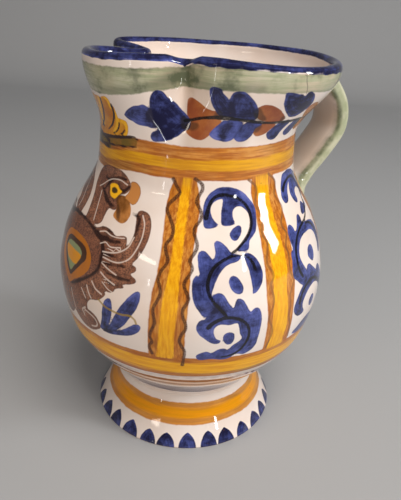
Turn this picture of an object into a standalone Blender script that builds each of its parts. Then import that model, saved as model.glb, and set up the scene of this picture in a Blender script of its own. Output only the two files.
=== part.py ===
"""Glazed ceramic jug: a turned body on a splayed foot, a mouth pinched into a spout, and a strap handle.

The jug stands on Z = 0 with its axis on Z. The spout points along -X and the handle along +X.
Sizes are in millimetres until a point goes into a mesh.
"""
import bmesh
import bpy
import numpy as np

MM = 0.001

# Turned outside, from the table upwards. Each stretch has the height it rises and the radius it ends at.
FOOT_RADIUS = 50.0
FOOT_EDGE = 1.2
FOOT_SIDE_RISE = 6.0
FOOT_SIDE_RADIUS = 46.8
FOOT_TOP_RISE = 9.0
FOOT_TOP_RADIUS = 41.2
WAIST_RISE = 9.0
WAIST_RADIUS = 37.6
BELLY_START_RISE = 7.5
BELLY_START_RADIUS = 42.2
BELLY_LOW_RISE = 16.0
BELLY_LOW_RADIUS = 56.0
BELLY_SIDE_RISE = 13.0
BELLY_SIDE_RADIUS = 64.0
BELLY_RISE = 26.5
BELLY_RADIUS = 68.6
BELLY_TOP_RISE = 17.5
BELLY_TOP_RADIUS = 65.9
SHOULDER_RISE = 15.0
SHOULDER_RADIUS = 60.0
SHOULDER_TOP_RISE = 13.0
SHOULDER_TOP_RADIUS = 52.4
NECK_START_RISE = 10.0
NECK_START_RADIUS = 48.2
NECK_RISE = 14.5
NECK_RADIUS = 47.0

# Clay
WALL = 5.2
FLOOR = 8.0
FLOOR_FILLET = 5.0
FLOOR_CLEARANCE = 1.0

# Mouth, as the hand left it. The two pinches make the spout.
FAR_PINCH_ANGLE = 129.0
FAR_PINCH_RADIUS = 34.0
NEAR_PINCH_ANGLE = 238.0
NEAR_PINCH_RADIUS = 36.8
SPOUT_RADIUS = 54.5
HANDLE_SIDE_RADIUS = 63.5
# Stations round the outer edge of the lip: angles in degrees from the handle, the radius at each, and the
# rise of the lip's crest above the neck at each
LIP_ANGLES = (
    0.0, 33.0, 65.0, 84.0, 98.0, 107.0, 113.0, 115.35, 117.6, 119.45, 120.7, 123.3, 125.7,
    FAR_PINCH_ANGLE, 134.0, 142.0, 156.0, 172.0, 190.0, 205.0, 218.0, 229.0, NEAR_PINCH_ANGLE, 246.0,
    255.0, 266.0, 277.0, 295.0, 312.0, 332.0,
)
LIP_RADII = (
    HANDLE_SIDE_RADIUS, 62.5, 60.0, 60.4, 59.6, 60.3, 61.2, 61.3, 60.5, 59.0, 56.8, 48.4, 40.5,
    FAR_PINCH_RADIUS, 38.5, 46.0, 52.5, SPOUT_RADIUS, SPOUT_RADIUS, 52.5, 48.6, 43.0, NEAR_PINCH_RADIUS,
    42.0, 47.0, 50.0, 53.5, 59.5, 62.5, 64.0,
)
LIP_RISES = (
    36.5, 35.9, 35.8, 36.1, 36.4, 36.5, 36.4, 36.3, 36.1, 35.9, 35.6, 35.3, 34.9, 34.2, 34.2, 34.8,
    35.8, 36.6, 37.2, 37.9, 38.6, 38.6, 36.7, 38.8, 39.1, 38.5, 37.8, 36.8, 36.3, 36.3,
)
# Shares of the way from the neck to the lip between which the wall leans out
FLARE_START = 0.08
FLARE_END = 0.96

# Handle: a flat strap from under the lip to the shoulder. Its points are reaches past the neck's radius and
# heights above the neck, from root to root.
STRAP_WIDTH = 26.0
STRAP_THICKNESS = 9.6
STRAP_ROUNDNESS = 3.0
STRAP_ROOT_SPREAD = 1.2
STRAP_REACH = 27.3
STRAP_UPPER_INSET = 1.3
STRAP_POINTS = (
    (7.4, 28.9),
    (17.2, 24.2),
    (STRAP_REACH - STRAP_UPPER_INSET, 12.9),
    (STRAP_REACH, 0.8),
    (21.3, -9.8),
    (11.8, -21.6),
    (2.3, -32.7),
)

# Facets
COLUMNS = 76
STRETCH_ROWS = (1, 2, 2, 2, 3, 2, 3, 2, 2, 2, 2, 1)
PINCH_CROWDING = 1.6
PINCH_SPREAD = 12.0
FLARE_ROWS = 7
LIP_ROWS = 4
INNER_STEP = 2
STRAP_SECTION_POINTS = 14
STRAP_SEGMENTS = 4
WELD = 0.001

GLAZE_COLOUR = (0.80, 0.72, 0.67, 1.0)
GLAZE_ROUGHNESS = 0.12

# Rise and radius of each turned stretch
STRETCHES = (
    (FOOT_SIDE_RISE, FOOT_SIDE_RADIUS),
    (FOOT_TOP_RISE, FOOT_TOP_RADIUS),
    (WAIST_RISE, WAIST_RADIUS),
    (BELLY_START_RISE, BELLY_START_RADIUS),
    (BELLY_LOW_RISE, BELLY_LOW_RADIUS),
    (BELLY_SIDE_RISE, BELLY_SIDE_RADIUS),
    (BELLY_RISE, BELLY_RADIUS),
    (BELLY_TOP_RISE, BELLY_TOP_RADIUS),
    (SHOULDER_RISE, SHOULDER_RADIUS),
    (SHOULDER_TOP_RISE, SHOULDER_TOP_RADIUS),
    (NECK_START_RISE, NECK_START_RADIUS),
    (NECK_RISE, NECK_RADIUS),
)
NECK_HEIGHT = sum(rise for rise, _ in STRETCHES)


def smooth_curve(x, knots, values):
    """A smooth curve through the values at the knots that never overshoots them."""
    knots = np.asarray(knots, float)
    values = np.asarray(values, float)
    step = np.diff(knots)
    slope = np.diff(values) / step
    tangent = np.zeros(len(knots))
    same = slope[:-1] * slope[1:] > 0
    before = (2 * step[1:] + step[:-1])[same]
    after = (step[1:] + 2 * step[:-1])[same]
    inside = tangent[1:-1]
    inside[same] = (before + after) / (before / slope[:-1][same] + after / slope[1:][same])
    tangent[0] = slope[0]
    tangent[-1] = slope[-1]
    i = np.clip(np.searchsorted(knots, x, side="right") - 1, 0, len(step) - 1)
    t = (x - knots[i]) / step[i]
    from_start = values[i] * (1 + 2 * t) * (1 - t) ** 2 + tangent[i] * step[i] * t * (1 - t) ** 2
    from_end = values[i + 1] * t * t * (3 - 2 * t) - tangent[i + 1] * step[i] * t * t * (1 - t)
    return from_start + from_end


def turned_radius(height):
    """The outer radius of the turned body at a height."""
    knots = [0.0]
    radii = [FOOT_RADIUS]
    for rise, radius in STRETCHES:
        knots.append(knots[-1] + rise)
        radii.append(radius)
    return smooth_curve(height, knots, radii)


def lip_value(angles, values):
    """The lip's outer radius or its crest's rise, read from the stations round the whole turn."""
    stations = np.array(LIP_ANGLES)
    knots = np.concatenate([stations - 360.0, stations, stations + 360.0])
    return smooth_curve(angles, knots, np.tile(values, 3))


def flare(share):
    """How far the wall has leant from the neck to the lip at a share of the height between them."""
    t = np.clip((share - FLARE_START) / (FLARE_END - FLARE_START), 0.0, 1.0)
    return t * t * (3 - 2 * t)


def column_angles():
    """Angles of the columns of facets in degrees, closer together round the two pinches."""
    fine = np.linspace(0.0, 360.0, 3601)
    density = np.ones_like(fine)
    for pinch in (FAR_PINCH_ANGLE, NEAR_PINCH_ANGLE):
        density += PINCH_CROWDING * np.exp(-((fine - pinch) / PINCH_SPREAD) ** 2)
    total = np.concatenate([[0.0], np.cumsum(density[:-1])])
    return np.interp(np.arange(COLUMNS) / COLUMNS * total[-1], total, fine)


def ring(angles, radius, height):
    """Points round the axis."""
    turn = np.radians(angles)
    height = height + np.zeros_like(turn)
    return np.stack([radius * np.cos(turn), radius * np.sin(turn), height], axis=-1)


def outside(angles):
    """The rings of the outer wall, from just above the table to the shoulder of the lip."""
    heights = [FOOT_EDGE]
    start = 0.0
    for (rise, _), rows in zip(STRETCHES, STRETCH_ROWS):
        heights += [start + rise * (k + 1) / rows for k in range(rows)]
        start += rise
    rings = [ring(angles, turned_radius(height), height) for height in heights]
    lip_radius = lip_value(angles, LIP_RADII)
    lip_rise = lip_value(angles, LIP_RISES) - WALL / 2
    for k in range(FLARE_ROWS):
        share = (k + 1) / FLARE_ROWS
        radius = NECK_RADIUS + (lip_radius - NECK_RADIUS) * flare(share)
        rings.append(ring(angles, radius, NECK_HEIGHT + lip_rise * share))
    return np.array(rings)


def outward(rings):
    """Unit normals of a grid of rings."""
    across = np.roll(rings, -1, axis=1) - np.roll(rings, 1, axis=1)
    upward = np.gradient(rings, axis=0)
    normal = np.cross(across, upward)
    return normal / np.linalg.norm(normal, axis=-1, keepdims=True)


def lip(outer_edge, inner_edge):
    """The half round over the wall's edge, between its outer and inner rings."""
    middle = (outer_edge + inner_edge) / 2
    half = (outer_edge - inner_edge) / 2
    crest = np.array([0.0, 0.0, WALL / 2])
    rings = []
    for k in range(1, LIP_ROWS):
        turn = np.pi * k / LIP_ROWS
        rings.append(middle + half * np.cos(turn) + crest * np.sin(turn))
    return rings


def vessel_rings():
    """All rings of the hollow jug, from its underside over the lip and down to the inner floor."""
    angles = column_angles()
    outer = outside(angles)
    inner = outer - WALL * outward(outer)
    turned = inner[: -FLARE_ROWS][::-INNER_STEP][1:]
    turned = [rim for rim in turned if rim[:, 2].min() > FLOOR + FLOOR_CLEARANCE]
    inner_rings = list(inner[-FLARE_ROWS - 1:][::-1]) + turned
    floor_radius = np.hypot(turned[-1][0, 0], turned[-1][0, 1]) - FLOOR_FILLET
    under = ring(angles, FOOT_RADIUS - FOOT_EDGE, 0.0)
    floor = ring(angles, floor_radius, FLOOR)
    return [under] + list(outer) + lip(outer[-1], inner[-1]) + inner_rings + [floor]


def core_rings():
    """Rings half way through the wall: what lies inside them is kept free of the handle."""
    outer = outside(column_angles())
    middle = outer - WALL / 2 * outward(outer)
    lowest_root = NECK_HEIGHT + STRAP_POINTS[-1][1]
    return [rim for rim in middle if rim[:, 2].min() > lowest_root - STRAP_WIDTH]


def mesh_from_rings(name, rings):
    """A closed mesh: neighbouring rings joined by quads, and the first and last ring capped."""
    mesh = bpy.data.meshes.new(name)
    bm = bmesh.new()
    loops = [[bm.verts.new(point * MM) for point in rim] for rim in rings]
    for low, high in zip(loops, loops[1:]):
        for i in range(len(low)):
            j = (i + 1) % len(low)
            bm.faces.new((low[i], low[j], high[j], high[i]))
    bm.faces.new(loops[0][::-1])
    bm.faces.new(loops[-1])
    bmesh.ops.recalc_face_normals(bm, faces=bm.faces)
    for face in bm.faces:
        face.smooth = len(face.verts) == 4
    bm.to_mesh(mesh)
    bm.free()
    return mesh


def strap_mesh(name):
    """The handle's strap: a flat rounded section swept along its bow, as a closed mesh."""
    section = bpy.data.curves.new("strap_section", "CURVE")
    section.dimensions = "2D"
    outline = section.splines.new("POLY")
    outline.points.add(STRAP_SECTION_POINTS - 1)
    outline.use_cyclic_u = True
    power = 2 / STRAP_ROUNDNESS
    for k, point in enumerate(outline.points):
        turn = 2 * np.pi * (k + 0.5) / STRAP_SECTION_POINTS
        wide = np.copysign(abs(np.cos(turn)) ** power, np.cos(turn)) * STRAP_WIDTH / 2
        thick = np.copysign(abs(np.sin(turn)) ** power, np.sin(turn)) * STRAP_THICKNESS / 2
        point.co = (wide * MM, thick * MM, 0.0, 1.0)
    section_object = bpy.data.objects.new("strap_section", section)
    bpy.context.scene.collection.objects.link(section_object)

    path = bpy.data.curves.new(name, "CURVE")
    path.dimensions = "3D"
    path.bevel_mode = "OBJECT"
    path.bevel_object = section_object
    path.use_fill_caps = True
    path.resolution_u = STRAP_SEGMENTS
    bow = path.splines.new("BEZIER")
    bow.bezier_points.add(len(STRAP_POINTS) - 1)
    for point, (reach, rise) in zip(bow.bezier_points, STRAP_POINTS):
        point.co = ((NECK_RADIUS + reach) * MM, 0.0, (NECK_HEIGHT + rise) * MM)
        point.handle_left_type = "AUTO"
        point.handle_right_type = "AUTO"
    bow.bezier_points[0].radius = STRAP_ROOT_SPREAD
    bow.bezier_points[-1].radius = STRAP_ROOT_SPREAD
    path_object = bpy.data.objects.new(name, path)
    bpy.context.scene.collection.objects.link(path_object)

    bpy.context.view_layer.update()
    evaluated = path_object.evaluated_get(bpy.context.evaluated_depsgraph_get())
    mesh = bpy.data.meshes.new_from_object(evaluated)
    bm = bmesh.new()
    bm.from_mesh(mesh)
    bmesh.ops.remove_doubles(bm, verts=bm.verts, dist=WELD * MM)
    bmesh.ops.recalc_face_normals(bm, faces=bm.faces)
    bm.to_mesh(mesh)
    bm.free()
    for leftover in (path_object, section_object):
        bpy.data.objects.remove(leftover)
    for leftover in (path, section):
        bpy.data.curves.remove(leftover)
    return mesh


def glaze_material():
    """White tin glaze."""
    material = bpy.data.materials.new("glaze")
    material.use_nodes = True
    shader = material.node_tree.nodes["Principled BSDF"]
    shader.inputs["Base Color"].default_value = GLAZE_COLOUR
    shader.inputs["Roughness"].default_value = GLAZE_ROUGHNESS
    shader.inputs["Metallic"].default_value = 0.0
    return material


def boolean(target, operation, other):
    """A Boolean modifier that stays on its object."""
    modifier = target.modifiers.new(operation.lower(), "BOOLEAN")
    modifier.operation = operation
    modifier.solver = "EXACT"
    modifier.object = other


def helper(name, mesh, collection):
    """An object that only shapes another one."""
    thing = bpy.data.objects.new(name, mesh)
    thing.hide_render = True
    thing.display_type = "WIRE"
    collection.objects.link(thing)
    return thing


def main():
    """Build the jug."""
    for thing in list(bpy.data.objects):
        bpy.data.objects.remove(thing)
    parts = bpy.data.collections.new("ceramic_jug")
    helpers = bpy.data.collections.new("cutters")
    bpy.context.scene.collection.children.link(parts)
    bpy.context.scene.collection.children.link(helpers)

    core = helper("core", mesh_from_rings("core", core_rings()), helpers)
    strap = helper("strap", strap_mesh("strap"), helpers)
    boolean(strap, "DIFFERENCE", core)

    jug = bpy.data.objects.new("jug", mesh_from_rings("jug", vessel_rings()))
    parts.objects.link(jug)
    jug.data.materials.append(glaze_material())
    boolean(jug, "UNION", strap)


main()
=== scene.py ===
"""Looks of the ceramic jug: a finely turned body, its pulled handle and the brush painting in the glaze.

Everything is worked out in millimetres in the jug's own frame and turned into metres when a mesh is made.
The painting is kept as distances from the brush strokes, one number per corner of the mesh for each colour,
and the glaze material turns those distances into crisp edges, washes and overlaps.
"""

import bpy
import numpy as np
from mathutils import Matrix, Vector


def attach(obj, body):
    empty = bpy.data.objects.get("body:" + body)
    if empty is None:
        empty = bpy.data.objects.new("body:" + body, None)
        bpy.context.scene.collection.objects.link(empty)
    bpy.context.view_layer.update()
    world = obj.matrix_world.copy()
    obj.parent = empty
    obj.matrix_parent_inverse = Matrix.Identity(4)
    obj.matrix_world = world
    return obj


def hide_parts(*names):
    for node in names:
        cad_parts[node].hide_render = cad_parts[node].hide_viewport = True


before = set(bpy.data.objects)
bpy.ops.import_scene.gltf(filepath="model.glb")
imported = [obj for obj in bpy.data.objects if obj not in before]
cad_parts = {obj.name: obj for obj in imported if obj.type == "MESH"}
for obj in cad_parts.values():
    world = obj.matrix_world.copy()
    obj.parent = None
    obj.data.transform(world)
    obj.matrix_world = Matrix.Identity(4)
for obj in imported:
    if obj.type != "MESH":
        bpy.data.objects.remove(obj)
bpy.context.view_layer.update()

MM = 0.001

# Turned outside, from the table upwards: heights and radii
PROFILE_HEIGHTS = np.cumsum([0.0, 6.0, 9.0, 9.0, 7.5, 16.0, 13.0, 26.5, 17.5, 15.0, 13.0, 10.0, 14.5])
PROFILE_RADII = np.array([50.0, 46.8, 41.2, 37.6, 42.2, 56.0, 64.0, 68.6, 65.9, 60.0, 52.4, 48.2, 47.0])
NECK_HEIGHT = PROFILE_HEIGHTS[-1]
NECK_RADIUS = PROFILE_RADII[-1]
FOOT_EDGE = 0.7
FOOT_RADIUS = 50.0
WALL = 5.2
FLOOR = 8.0
FLOOR_FILLET = 5.0
FILLET_CLEARANCE = 1.5
FLOOR_SHARES = (0.66, 0.33)
UNDER_RADII = (FOOT_RADIUS - FOOT_EDGE, 43.0, 30.0, 15.0, 0.0)

# Stations round the lip: angle from the handle, outer radius, rise of the crest above the neck
LIP_ANGLES = np.array([
    0.0, 33.0, 65.0, 84.0, 98.0, 107.0, 113.0, 115.35, 117.6, 119.45, 120.7, 123.3, 125.7, 129.0, 134.0, 142.0,
    156.0, 172.0, 190.0, 205.0, 218.0, 229.0, 238.0, 246.0, 255.0, 266.0, 277.0, 295.0, 312.0, 332.0])
LIP_RADII = np.array([
    63.5, 62.5, 60.0, 60.4, 59.6, 60.3, 61.2, 61.3, 60.5, 59.0, 56.8, 48.4, 40.5, 34.0, 38.5, 46.0,
    52.5, 54.5, 54.5, 52.5, 48.6, 43.0, 36.8, 42.0, 47.0, 50.0, 53.5, 59.5, 62.5, 64.0])
LIP_RISES = np.array([
    36.5, 35.9, 35.8, 36.1, 36.4, 36.5, 36.4, 36.3, 36.1, 35.9, 35.6, 35.3, 34.9, 34.2, 34.2, 34.8,
    35.8, 36.6, 37.2, 37.9, 38.6, 38.6, 36.7, 38.8, 39.1, 38.5, 37.8, 36.8, 36.3, 36.3])
FLARE_START = 0.08
FLARE_END = 0.96

# Handle: points of its bow as reach past the neck's radius and height above the neck
STRAP_WIDTH = 26.0
STRAP_THICKNESS = 9.6
STRAP_ROUNDNESS = 3.0
STRAP_ROOT_SPREAD = 1.2
ROOT_SHARE = 0.22
STRAP_BOW = np.array([
    (7.4, 28.9), (17.2, 24.2), (26.0, 12.9), (27.3, 0.8), (21.3, -9.8), (11.8, -21.6), (2.3, -32.7)])
STRAP_FILLET = 4.5
STRAP_SINK = 2.6

# Facets
COLUMNS = 400
INNER_COLUMNS = 100
BODY_ROWS = 174
FLARE_ROWS = 40
LIP_ROWS = 8
QUARTER_TURN = np.array([30.0, 60.0, 90.0])
COLUMN_STEP = COLUMNS // INNER_COLUMNS
ROW_STEP = 4
STRAP_STEPS = 110
STRAP_COLUMNS = 72

# Layouts for the finishes. Strips are given by left and right, foot and height, discs by centre and radius
OUTER_ACROSS, OUTER_UP = (0.006, 0.994), (0.008, 0.56)
INNER_ACROSS, INNER_UP = (0.006, 0.86), (0.585, 0.285)
FLOOR_DISC = ((0.93, 0.66), 0.05)
UNDER_DISC = ((0.93, 0.80), 0.055)
STRAP_ACROSS, STRAP_UP = (0.01, 0.99), (0.04, 0.92)

# The distance of corners that no stroke comes near
FAR = 9.0
# How far round a stroke its distances are worked out
MARGIN = 4.0


# Shape

def smooth_curve(x, knots, values):
    """A cubic between neighbouring knots whose slopes are harmonic means, so it never overshoots them."""
    knots = np.asarray(knots, float)
    values = np.asarray(values, float)
    step = np.diff(knots)
    slope = np.diff(values) / step
    tangent = np.zeros(len(knots))
    same = slope[:-1] * slope[1:] > 0
    before = (2 * step[1:] + step[:-1])[same]
    after = (step[1:] + 2 * step[:-1])[same]
    inside = tangent[1:-1]
    inside[same] = (before + after) / (before / slope[:-1][same] + after / slope[1:][same])
    tangent[0] = slope[0]
    tangent[-1] = slope[-1]
    i = np.clip(np.searchsorted(knots, x, side="right") - 1, 0, len(step) - 1)
    t = (x - knots[i]) / step[i]
    from_start = values[i] * (1 + 2 * t) * (1 - t) ** 2 + tangent[i] * step[i] * t * (1 - t) ** 2
    from_end = values[i + 1] * t * t * (3 - 2 * t) - tangent[i + 1] * step[i] * t * t * (1 - t)
    return from_start + from_end


def smoothstep(low, high, x):
    """0 below low, 1 above high, and 3t2 - 2t3 of the share t between."""
    t = np.clip((x - low) / (high - low), 0.0, 1.0)
    return t * t * (3 - 2 * t)


def lip_value(angles, values):
    """A station value read round the whole turn, in degrees."""
    knots = np.concatenate([LIP_ANGLES - 360.0, LIP_ANGLES, LIP_ANGLES + 360.0])
    return smooth_curve(np.mod(angles, 360.0), knots, np.tile(values, 3))


def outer_radius(angle, height):
    """Turned radius up to the neck; above it the neck's radius, eased out to the lip's by a smooth step of the
    share of the height."""
    rise = lip_value(angle, LIP_RISES) - WALL / 2
    share = np.clip((height - NECK_HEIGHT) / rise, 0.0, 1.0)
    lean = smoothstep(FLARE_START, FLARE_END, share)
    flared = NECK_RADIUS + (lip_value(angle, LIP_RADII) - NECK_RADIUS) * lean
    turned = smooth_curve(np.minimum(height, NECK_HEIGHT), PROFILE_HEIGHTS, PROFILE_RADII)
    return np.where(height <= NECK_HEIGHT, turned, flared)


def hand_waver(angle, height):
    """Slight unevenness of the thrown wall: three sines round and up the body, faded out at foot and lip."""
    turn = np.radians(angle)
    wave = (0.05 * np.sin(height / 4.6 + 1.3 * np.sin(turn * 2))
            + 0.05 * np.sin(turn * 7 + height / 11.0)
            + 0.03 * np.sin(turn * 13 - height / 7.0 + 1.0))
    fade = smoothstep(22.0, 34.0, height) * smoothstep(NECK_HEIGHT + 30.0, NECK_HEIGHT + 8.0, height)
    return (wave - 0.13) * fade


def ring(angle, radius, height):
    """Points round the axis, from angles in degrees."""
    turn = np.radians(angle)
    return np.stack(np.broadcast_arrays(radius * np.cos(turn), radius * np.sin(turn), height), axis=-1)


def outer_grid():
    """Angles and heights of the outer wall's corners: rows evenly spaced along the profile, and above the neck
    at even shares of the rise to the lip."""
    fine = np.linspace(FOOT_EDGE, NECK_HEIGHT, 4000)
    radius = smooth_curve(fine, PROFILE_HEIGHTS, PROFILE_RADII)
    along = np.concatenate([[0.0], np.cumsum(np.hypot(np.diff(fine), np.diff(radius)))])
    body = np.interp(np.linspace(0.0, along[-1], BODY_ROWS + 1), along, fine)
    angle = np.arange(COLUMNS) * 360.0 / COLUMNS
    rise = lip_value(angle, LIP_RISES) - WALL / 2
    share = np.arange(1, FLARE_ROWS + 1)[:, None] / FLARE_ROWS
    height = np.vstack([np.repeat(body[:, None], COLUMNS, 1), NECK_HEIGHT + rise * share])
    return np.broadcast_to(angle, height.shape), height


def outward(rings):
    """Unit normals of a grid of rings: the step round the ring crossed with the step up the wall."""
    across = np.roll(rings, -1, axis=1) - np.roll(rings, 1, axis=1)
    normal = np.cross(across, np.gradient(rings, axis=0))
    return normal / np.linalg.norm(normal, axis=-1, keepdims=True)


# Painting: distances are in millimetres along the surface, below 0 inside a stroke

ANGLE, HEIGHT = outer_grid()
RADIUS = outer_radius(ANGLE, HEIGHT)
PROFILE = ring(ANGLE, RADIUS, HEIGHT)
ALONG = np.zeros_like(HEIGHT)
ALONG[1:] = np.cumsum(np.linalg.norm(np.diff(PROFILE, axis=0), axis=-1), axis=0)
MEAN_ALONG = ALONG.mean(axis=1)
MEAN_HEIGHT = HEIGHT.mean(axis=1)

layers = {}


def layer(name, start=FAR):
    """The grid of one colour's distances."""
    if name not in layers:
        layers[name] = np.full(HEIGHT.shape, start)
    return layers[name]


def rounded(points, closed, cuts=5):
    """Points of a Catmull-Rom curve through the given ones."""
    points = np.asarray(points, float)
    if closed:
        ends = np.vstack([points[-1:], points, points[:2]])
    else:
        ends = np.vstack([2 * points[:1] - points[1:2], points, 2 * points[-1:] - points[-2:-1]])
    t = np.arange(cuts)[None, :, None] / cuts
    a, b, c, d = (ends[k:len(ends) - 3 + k][:, None] for k in range(4))
    bend = (2 * a - 5 * b + 4 * c - d) * t ** 2
    twist = (3 * b - a - 3 * c + d) * t ** 3
    curve = (0.5 * (2 * b + (c - a) * t + bend + twist)).reshape(-1, points.shape[1])
    return curve if closed else np.vstack([curve, points[-1:]])


def window(points, margin):
    """Rows and columns of the grid within a margin of some (angle, height) points."""
    low = points.min(axis=0)
    high = points.max(axis=0)
    rows = np.nonzero((MEAN_HEIGHT > low[1] - margin) & (MEAN_HEIGHT < high[1] + margin))[0]
    spread = np.degrees(margin / 40.0)
    first = int(np.floor((low[0] - spread) * COLUMNS / 360.0))
    last = int(np.ceil((high[0] + spread) * COLUMNS / 360.0))
    columns = np.arange(first, last + 1)
    return rows, columns


def flat_offsets(points, rows, columns):
    """Where the points lie from each corner, unrolled: round by the corner's radius, and up the wall."""
    cells = np.ix_(rows, columns % COLUMNS)
    angle = (columns * 360.0 / COLUMNS)[None, :, None]
    across = np.radians(points[:, 0] - angle) * RADIUS[cells][..., None]
    own = np.interp(HEIGHT[cells], MEAN_HEIGHT, MEAN_ALONG)
    return cells, across, np.interp(points[:, 1], MEAN_HEIGHT, MEAN_ALONG) - own[..., None]


def segment_distances(across, up):
    """Distance from the corner (the origin) to each segment between neighbouring points, where along it the
    nearest place is, and on which side of it the corner lies."""
    start = np.stack([across[..., :-1], up[..., :-1]], -1)
    step = np.stack([np.diff(across, axis=-1), np.diff(up, axis=-1)], -1)
    length = np.maximum((step ** 2).sum(-1), 1e-9)
    t = np.clip(-(start * step).sum(-1) / length, 0.0, 1.0)
    nearest = start + t[..., None] * step
    side = start[..., 0] * step[..., 1] - start[..., 1] * step[..., 0]
    return np.hypot(nearest[..., 0], nearest[..., 1]), t, side / np.sqrt(length)


def nearer(name, distance, cells=...):
    """Keeps the smaller of a colour's distances, so that the nearest stroke counts."""
    grid = layer(name)
    grid[cells] = np.minimum(grid[cells], distance)


def load(name, cells, distance, weight):
    """Adds a stroke's wash to its colour's thickness, so that strokes that overlap come out darker."""
    grid = layer(name + "_load", 0.0)
    grid[cells] += weight * smoothstep(1.0, -1.2, distance)


def patch(name, points, weight=1.0, smooth=True):
    """A filled shape: distance to its outline, counted negative where a line from the corner crosses it an odd
    number of times."""
    outline = rounded(points, True) if smooth else np.asarray(points, float)
    outline = np.vstack([outline, outline[:1]])
    rows, columns = window(outline, MARGIN)
    cells, across, up = flat_offsets(outline, rows, columns)
    distance, _, _ = segment_distances(across, up)
    low, high = up[..., :-1], up[..., 1:]
    crosses = (low > 0) != (high > 0)
    reach = across[..., :-1] - low * np.diff(across, axis=-1) / np.where(crosses, high - low, 1.0)
    inside = (crosses & (reach > 0)).sum(-1) % 2 == 1
    signed = np.where(inside, -1.0, 1.0) * distance.min(-1)
    nearer(name, signed, cells)
    load(name, cells, signed, weight)


def stroke(name, points, weight=1.0):
    """A brush stroke through (angle, height, half width): distance to its line less the width there."""
    line = rounded(points, False)
    rows, columns = window(line[:, :2], MARGIN + line[:, 2].max())
    cells, across, up = flat_offsets(line[:, :2], rows, columns)
    distance, t, _ = segment_distances(across, up)
    width = line[:-1, 2] * (1 - t) + line[1:, 2] * t
    signed = (distance - width).min(-1)
    nearer(name, signed, cells)
    load(name, cells, signed, weight)


def hairline(name, points, half_width):
    """A thin line: the signed distance across the nearest piece of it, and how far away the line is."""
    line = rounded(points, False)
    rows, columns = window(line[:, :2], MARGIN)
    cells, across, up = flat_offsets(line[:, :2], rows, columns)
    distance, _, side = segment_distances(across, up)
    nearest = distance.argmin(-1)[..., None]
    far = np.take_along_axis(distance, nearest, -1)[..., 0]
    across_line = np.take_along_axis(side, nearest, -1)[..., 0]
    away = layer(name + "_away")
    lateral = layer(name + "_side")
    closer = far - half_width < away[cells]
    lateral[cells] = np.where(closer, across_line / half_width, lateral[cells])
    away[cells] = np.where(closer, far - half_width, away[cells])


def mirrored(points, axis):
    """The points turned over to the other side of an angle."""
    points = np.array(points, float)
    points[:, 0] = 2 * axis - points[:, 0]
    return points


def shifted(points, turn):
    """The points turned round the jug."""
    points = np.array(points, float)
    points[:, 0] += turn
    return points


def as_drawn(points):
    """The points where their table has them."""
    return np.array(points, float)


def both_sides(axis):
    """The two ways to place a drawing: as drawn, and turned over to the other side of an angle."""
    return as_drawn, lambda points: mirrored(points, axis)


def patches(name, shapes, place, weight=1.0):
    """Filled shapes of one colour, each put in its place."""
    for points in shapes:
        patch(name, place(points), weight)


def strokes(name, lines, place=as_drawn):
    """Brush strokes of one colour, each put in its place."""
    for points in lines:
        stroke(name, place(points))


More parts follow.
